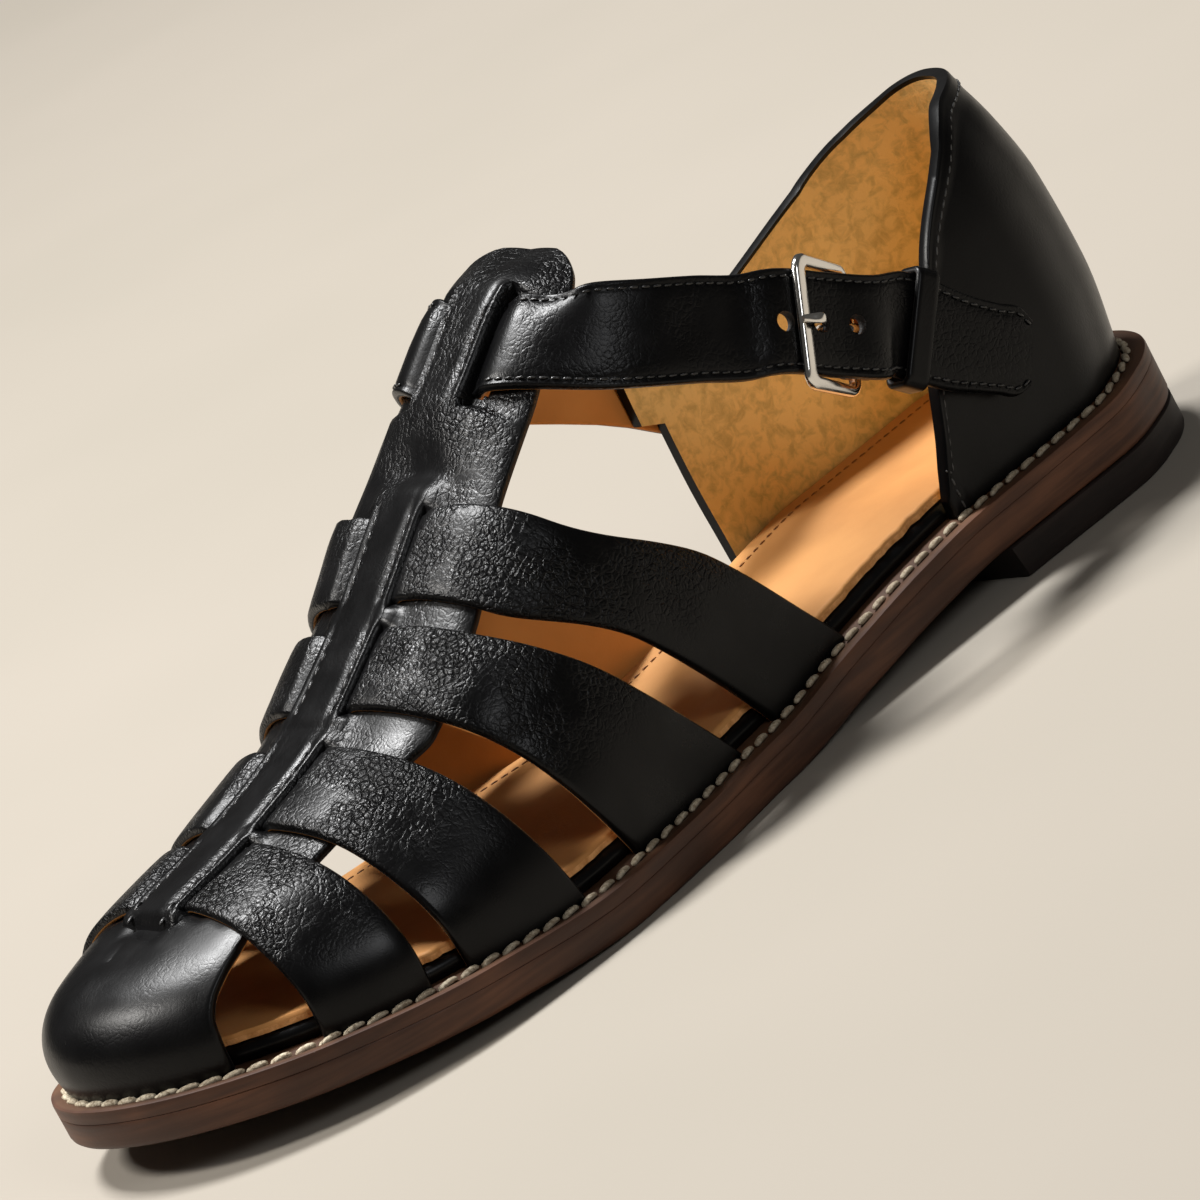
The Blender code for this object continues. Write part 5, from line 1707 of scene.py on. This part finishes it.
def buckle_tab():
    low, high, count = tab_grids()
    shares = (0.0, 0.006, 0.018, 0.04, 0.2, 0.38, 0.62, 0.8, 0.96, 0.982, 0.994, 1.0)
    marks = (0.0, 0.38, 0.62, 1.0)
    fine = []
    for grid in (low, high):
        finer = [[[np.interp(v, marks, row[:, a]) for a in range(3)] for v in shares] for row in grid]
        fine.append(np.array(finer))
    for i in range(len(low)):
        width = np.linalg.norm(high[i, 0] - high[i, -1])
        for j, v in enumerate(shares):
            share = rim(min(v, 1 - v) * width, SMALL_ROUND)
            under, upper = fine[0][i, j].copy(), fine[1][i, j].copy()
            fine[0][i, j] = under + (upper - under) * 0.25 * (1 - share)
            fine[1][i, j] = under + (upper - under) * (FACE_LEAST + (1 - FACE_LEAST) * share)
    present = np.ones((len(low) - 1, len(shares) - 1), dtype=bool)
    present[1 : count - 2, 5] = False
    piece = shell("buckle_tab_leather", *fine, SMOOTH_LINED, "black_leather", present, grain=FAINT_GRAIN)
    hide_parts("buckle_tab")


def keeper():
    places = LENGTH * STRAP_ON_OUTER["place"]
    heights = COUNTER_HEIGHT * STRAP_ON_OUTER["height"]
    ends = [quarter_outside(places[i] / LENGTH, heights[i], "outer", QUARTER_WALL) for i in (0, 1, 2)]
    run = unit(ends[2] - ends[0])
    middle = ends[1] - KEEPER_FORWARD * run
    line = line_of(STRAP_ON_OUTER)[:3]
    row = across_rows(line, [ANKLE_STRAP_WIDTH] * 3, (0.5, -0.5))[1]
    top, bottom = on_quarter([row], "outer", QUARTER_WALL)[0]
    across = unit((top - bottom) - run * run.dot(top - bottom))
    out = np.cross(run, across)
    half = ANKLE_STRAP_WIDTH / 2 + KEEPER_ROOM
    depth = (-KEEPER_SINK, stack_offset() + ANKLE_STRAP_THICKNESS + KEEPER_ROOM)
    corner = KEEPER_CORNER
    corners = (
        (half, depth[0], 1, -1),
        (half, depth[1], 1, 1),
        (-half, depth[1], -1, 1),
        (-half, depth[0], -1, -1),
    )
    widths = (-1.0, -0.94, -0.8, -0.5, 0.0, 0.5, 0.8, 0.94, 1.0)
    loops = ([], [])
    for k, (side, level, a, b) in enumerate(corners):
        for angle in range(0, 91, 15):
            turn = math.radians(angle)
            sideways = math.cos(turn) if k % 2 else math.sin(turn)
            outward = math.sin(turn) if k % 2 else math.cos(turn)
            for is_outer in (False, True):
                line = []
                for w in widths:
                    share = rim((1 - abs(w)) * KEEPER_WIDTH / 2, SMALL_ROUND)
                    rise = FACE_LEAST + (1 - FACE_LEAST) * share if is_outer else 0.25 * (1 - share)
                    radius = corner + KEEPER_WALL * rise
                    reach = side + a * (radius * sideways - corner)
                    lift = level + b * (radius * outward - corner)
                    line.append(middle + across * reach + out * lift + run * w * KEEPER_WIDTH / 2)
                loops[is_outer].append(line)
    finishes = [SMOOTH, CUT_EDGE, CUT_EDGE]
    piece = shell("keeper_leather", *np.array(loops), finishes, "black_leather", closed=True,
                  grain=FAINT_GRAIN)
    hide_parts("keeper")


# Buckle
def bar(name, path, radii, closed, power=1.0, sides=24, guide=None):
    """Metal bar along a path. Radii hold the half width and half thickness, a pair a point."""
    path = np.array(path)
    count = len(path)
    centre = path.mean(axis=0)
    vertices = []
    for i, point in enumerate(path):
        ahead = path[(i + 1) % count] if closed else path[min(i + 1, count - 1)]
        behind = path[i - 1] if closed else path[max(i - 1, 0)]
        run = unit(ahead - behind)
        aside = point - centre if guide is None else guide
        first = unit(aside - run * run.dot(aside))
        second = np.cross(run, first)
        wide, thick = radii[i]
        for angle in np.linspace(0, 2 * math.pi, sides, endpoint=False):
            c, s = math.cos(angle), math.sin(angle)
            c = math.copysign(abs(c) ** power, c)
            s = math.copysign(abs(s) ** power, s)
            vertices.append(point + first * wide * c + second * thick * s)
    faces = []
    for i in range(count if closed else count - 1):
        for j in range(sides):
            a = i * sides + j
            b = i * sides + (j + 1) % sides
            c = (i + 1) % count * sides + (j + 1) % sides
            d = (i + 1) % count * sides + j
            faces.append((a, b, c, d))
    if not closed:
        faces.append(tuple(range(sides)))
        faces.append(tuple(range((count - 1) * sides, count * sides)))
    return make_mesh(name, vertices, faces, [NICKEL], angle=60)


def buckle_frame():
    half = ANKLE_STRAP_WIDTH / 2 + 2 * CLEARANCE + BAR_RADIUS
    corner = BUCKLE_CORNER
    wide = (FRONT_BAR_WIDTH / 2, FRONT_BAR_THICKNESS / 2)
    thin = (BAR_RADIUS, 0.9 * BAR_RADIUS)
    front_end = half - corner
    points = [(0.0, w, wide) for w in np.linspace(-front_end, front_end, 9)]
    for side, along, a, b, start in (
        (half, 0.0, 1, -1, 0),
        (half, BUCKLE_LENGTH, 1, 1, 90),
        (-half, BUCKLE_LENGTH, -1, 1, 0),
        (-half, 0.0, -1, -1, 90),
    ):
        for angle in range(10, 91, 10):
            turn = math.radians(abs(start - angle))
            sideways = side - a * corner * (1 - math.sin(turn))
            run = along - b * corner * (1 - math.cos(turn))
            near_front = smooth_step((run - FRONT_BAR_FADE[0]) / FRONT_BAR_FADE[1])
            size = tuple(w + (t - w) * near_front for w, t in zip(wide, thin))
            points.append((run, sideways, size))
    path = []
    for run, sideways, _ in points:
        share = run / BUCKLE_LENGTH
        path.append(at_buckle(run, sideways, front_bar_out() * (1 - share) - bar_drop() * share))
    piece = bar("buckle_frame_metal", path, [size for _, _, size in points], True, power=BUCKLE_SQUARENESS)
    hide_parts("buckle_frame")


def buckle_prong():
    half = PRONG_THICKNESS / 2
    ring = BAR_RADIUS + CLEARANCE + half
    top = front_bar_out() + FRONT_BAR_THICKNESS / 2 + CLEARANCE + half
    path = []
    for angle in range(290, -1, -15):
        turn = math.radians(max(angle, 0))
        path.append((BUCKLE_LENGTH + ring * math.sin(turn), ring * math.cos(turn) - bar_drop()))
    for from_hole, height in zip(PRONG["from_hole"], PRONG["height"]):
        path.append((HOLE_PLACE + HOLE_PITCH * from_hole, top * height))
    rows = np.array([[at_buckle(along, w, out) for w in (0.001, -0.001)] for along, out in path])
    points = smooth_rows(rows, 4).mean(axis=1)
    tip = np.linspace(1, PRONG_TIP, 8)
    sizes = [1.0] * (len(points) - len(tip)) + list(tip)
    radii = [(PRONG_WIDTH / 2 * s, half * s) for s in sizes]
    aside = buckle_frame_axes()[2]
    piece = bar("buckle_prong_metal", points, radii, False, power=PRONG_SQUARENESS, guide=aside)
    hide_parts("buckle_prong")


outsole()
welt()
welt_stitches()
heel()
footbed()
insole()
front_of_upper()
quarter()
ankle_strap()
buckle_tab()
keeper()
buckle_frame()
buckle_prong()


# Floor, light and camera
FLOOR_REACH = 6.0
CAMERA_AZIMUTH = 32.286
CAMERA_ELEVATION = 15.101
CAMERA_DISTANCE = 1.5659
CAMERA_ROLL = -27.83
CAMERA_TARGET = (0.144881, 0.0, 0.040509)
FOCAL_PIXELS = 7720.68
PHOTO_PIXELS = 1200
SENSOR = 36.0


def floor():
    mesh = bpy.data.meshes.new("floor")
    corners = [(x * FLOOR_REACH, y * FLOOR_REACH, 0) for x, y in ((-1, -1), (1, -1), (1, 1), (-1, 1))]
    mesh.from_pydata(corners, [], [(0, 1, 2, 3)])
    piece = bpy.data.objects.new("floor", mesh)
    bpy.context.collection.objects.link(piece)
    material, tree, shader = new_material("pale_floor")
    tone = span(tree, noise_of(tree, 3.0), 0.3, 0.7, 0.0, 1.0)
    colour = two_colours(tree, tone, (0.31, 0.28, 0.235), (0.335, 0.30, 0.255))
    tree.links.new(colour, shader.inputs["Base Color"])
    shader.inputs["Roughness"].default_value = 0.85
    mesh.materials.append(material)


def area_light(name, place, target, size, power, colour=(1, 1, 1)):
    light = bpy.data.lights.new(name, "AREA")
    light.shape = "RECTANGLE"
    light.size, light.size_y = size
    light.energy = power
    light.color = colour
    item = bpy.data.objects.new(name, light)
    item.location = place
    item.rotation_euler = (Vector(target) - Vector(place)).to_track_quat("-Z", "Y").to_euler()
    bpy.context.collection.objects.link(item)


def lights():
    world = bpy.data.worlds.new("studio")
    world.use_nodes = True
    world.node_tree.nodes["Background"].inputs["Color"].default_value = (0.92, 0.88, 0.82, 1.0)
    world.node_tree.nodes["Background"].inputs["Strength"].default_value = 0.08
    bpy.context.scene.world = world
    middle = (0.11, 0, 0.04)
    area_light("key", (1.5, -0.9, 2.1), middle, (0.55, 0.55), 58.0, (1.0, 0.97, 0.93))
    area_light("overhead", (0.10, -0.80, 2.25), middle, (0.62, 0.36), 90.0)
    area_light("fill", (0.3, 2.4, 1.6), middle, (0.9, 0.9), 15.0, (0.97, 0.98, 1.0))


def camera():
    """Camera at the photo's angle to the shoe, rolled as the photo is."""
    azimuth, elevation, roll = (math.radians(a) for a in (CAMERA_AZIMUTH, CAMERA_ELEVATION, CAMERA_ROLL))
    level = math.cos(elevation)
    back = Vector((math.sin(azimuth) * level, math.cos(azimuth) * level, math.sin(elevation)))
    right = Vector((0, 0, 1)).cross(back).normalized()
    up = back.cross(right)
    rolled_right = right * math.cos(roll) + up * math.sin(roll)
    rolled_up = up * math.cos(roll) - right * math.sin(roll)
    data = bpy.data.cameras.new("camera")
    data.sensor_width = SENSOR
    data.lens = FOCAL_PIXELS * SENSOR / PHOTO_PIXELS
    data.clip_end = 20.0
    item = bpy.data.objects.new("camera", data)
    turn = Matrix((rolled_right, rolled_up, back)).transposed()
    place = Vector(CAMERA_TARGET) + ORIGIN + back * CAMERA_DISTANCE
    item.matrix_world = Matrix.Translation(place) @ turn.to_4x4()
    bpy.context.collection.objects.link(item)
    bpy.context.scene.camera = item


floor()
lights()
camera()
bpy.context.scene.view_settings.view_transform = "Standard"
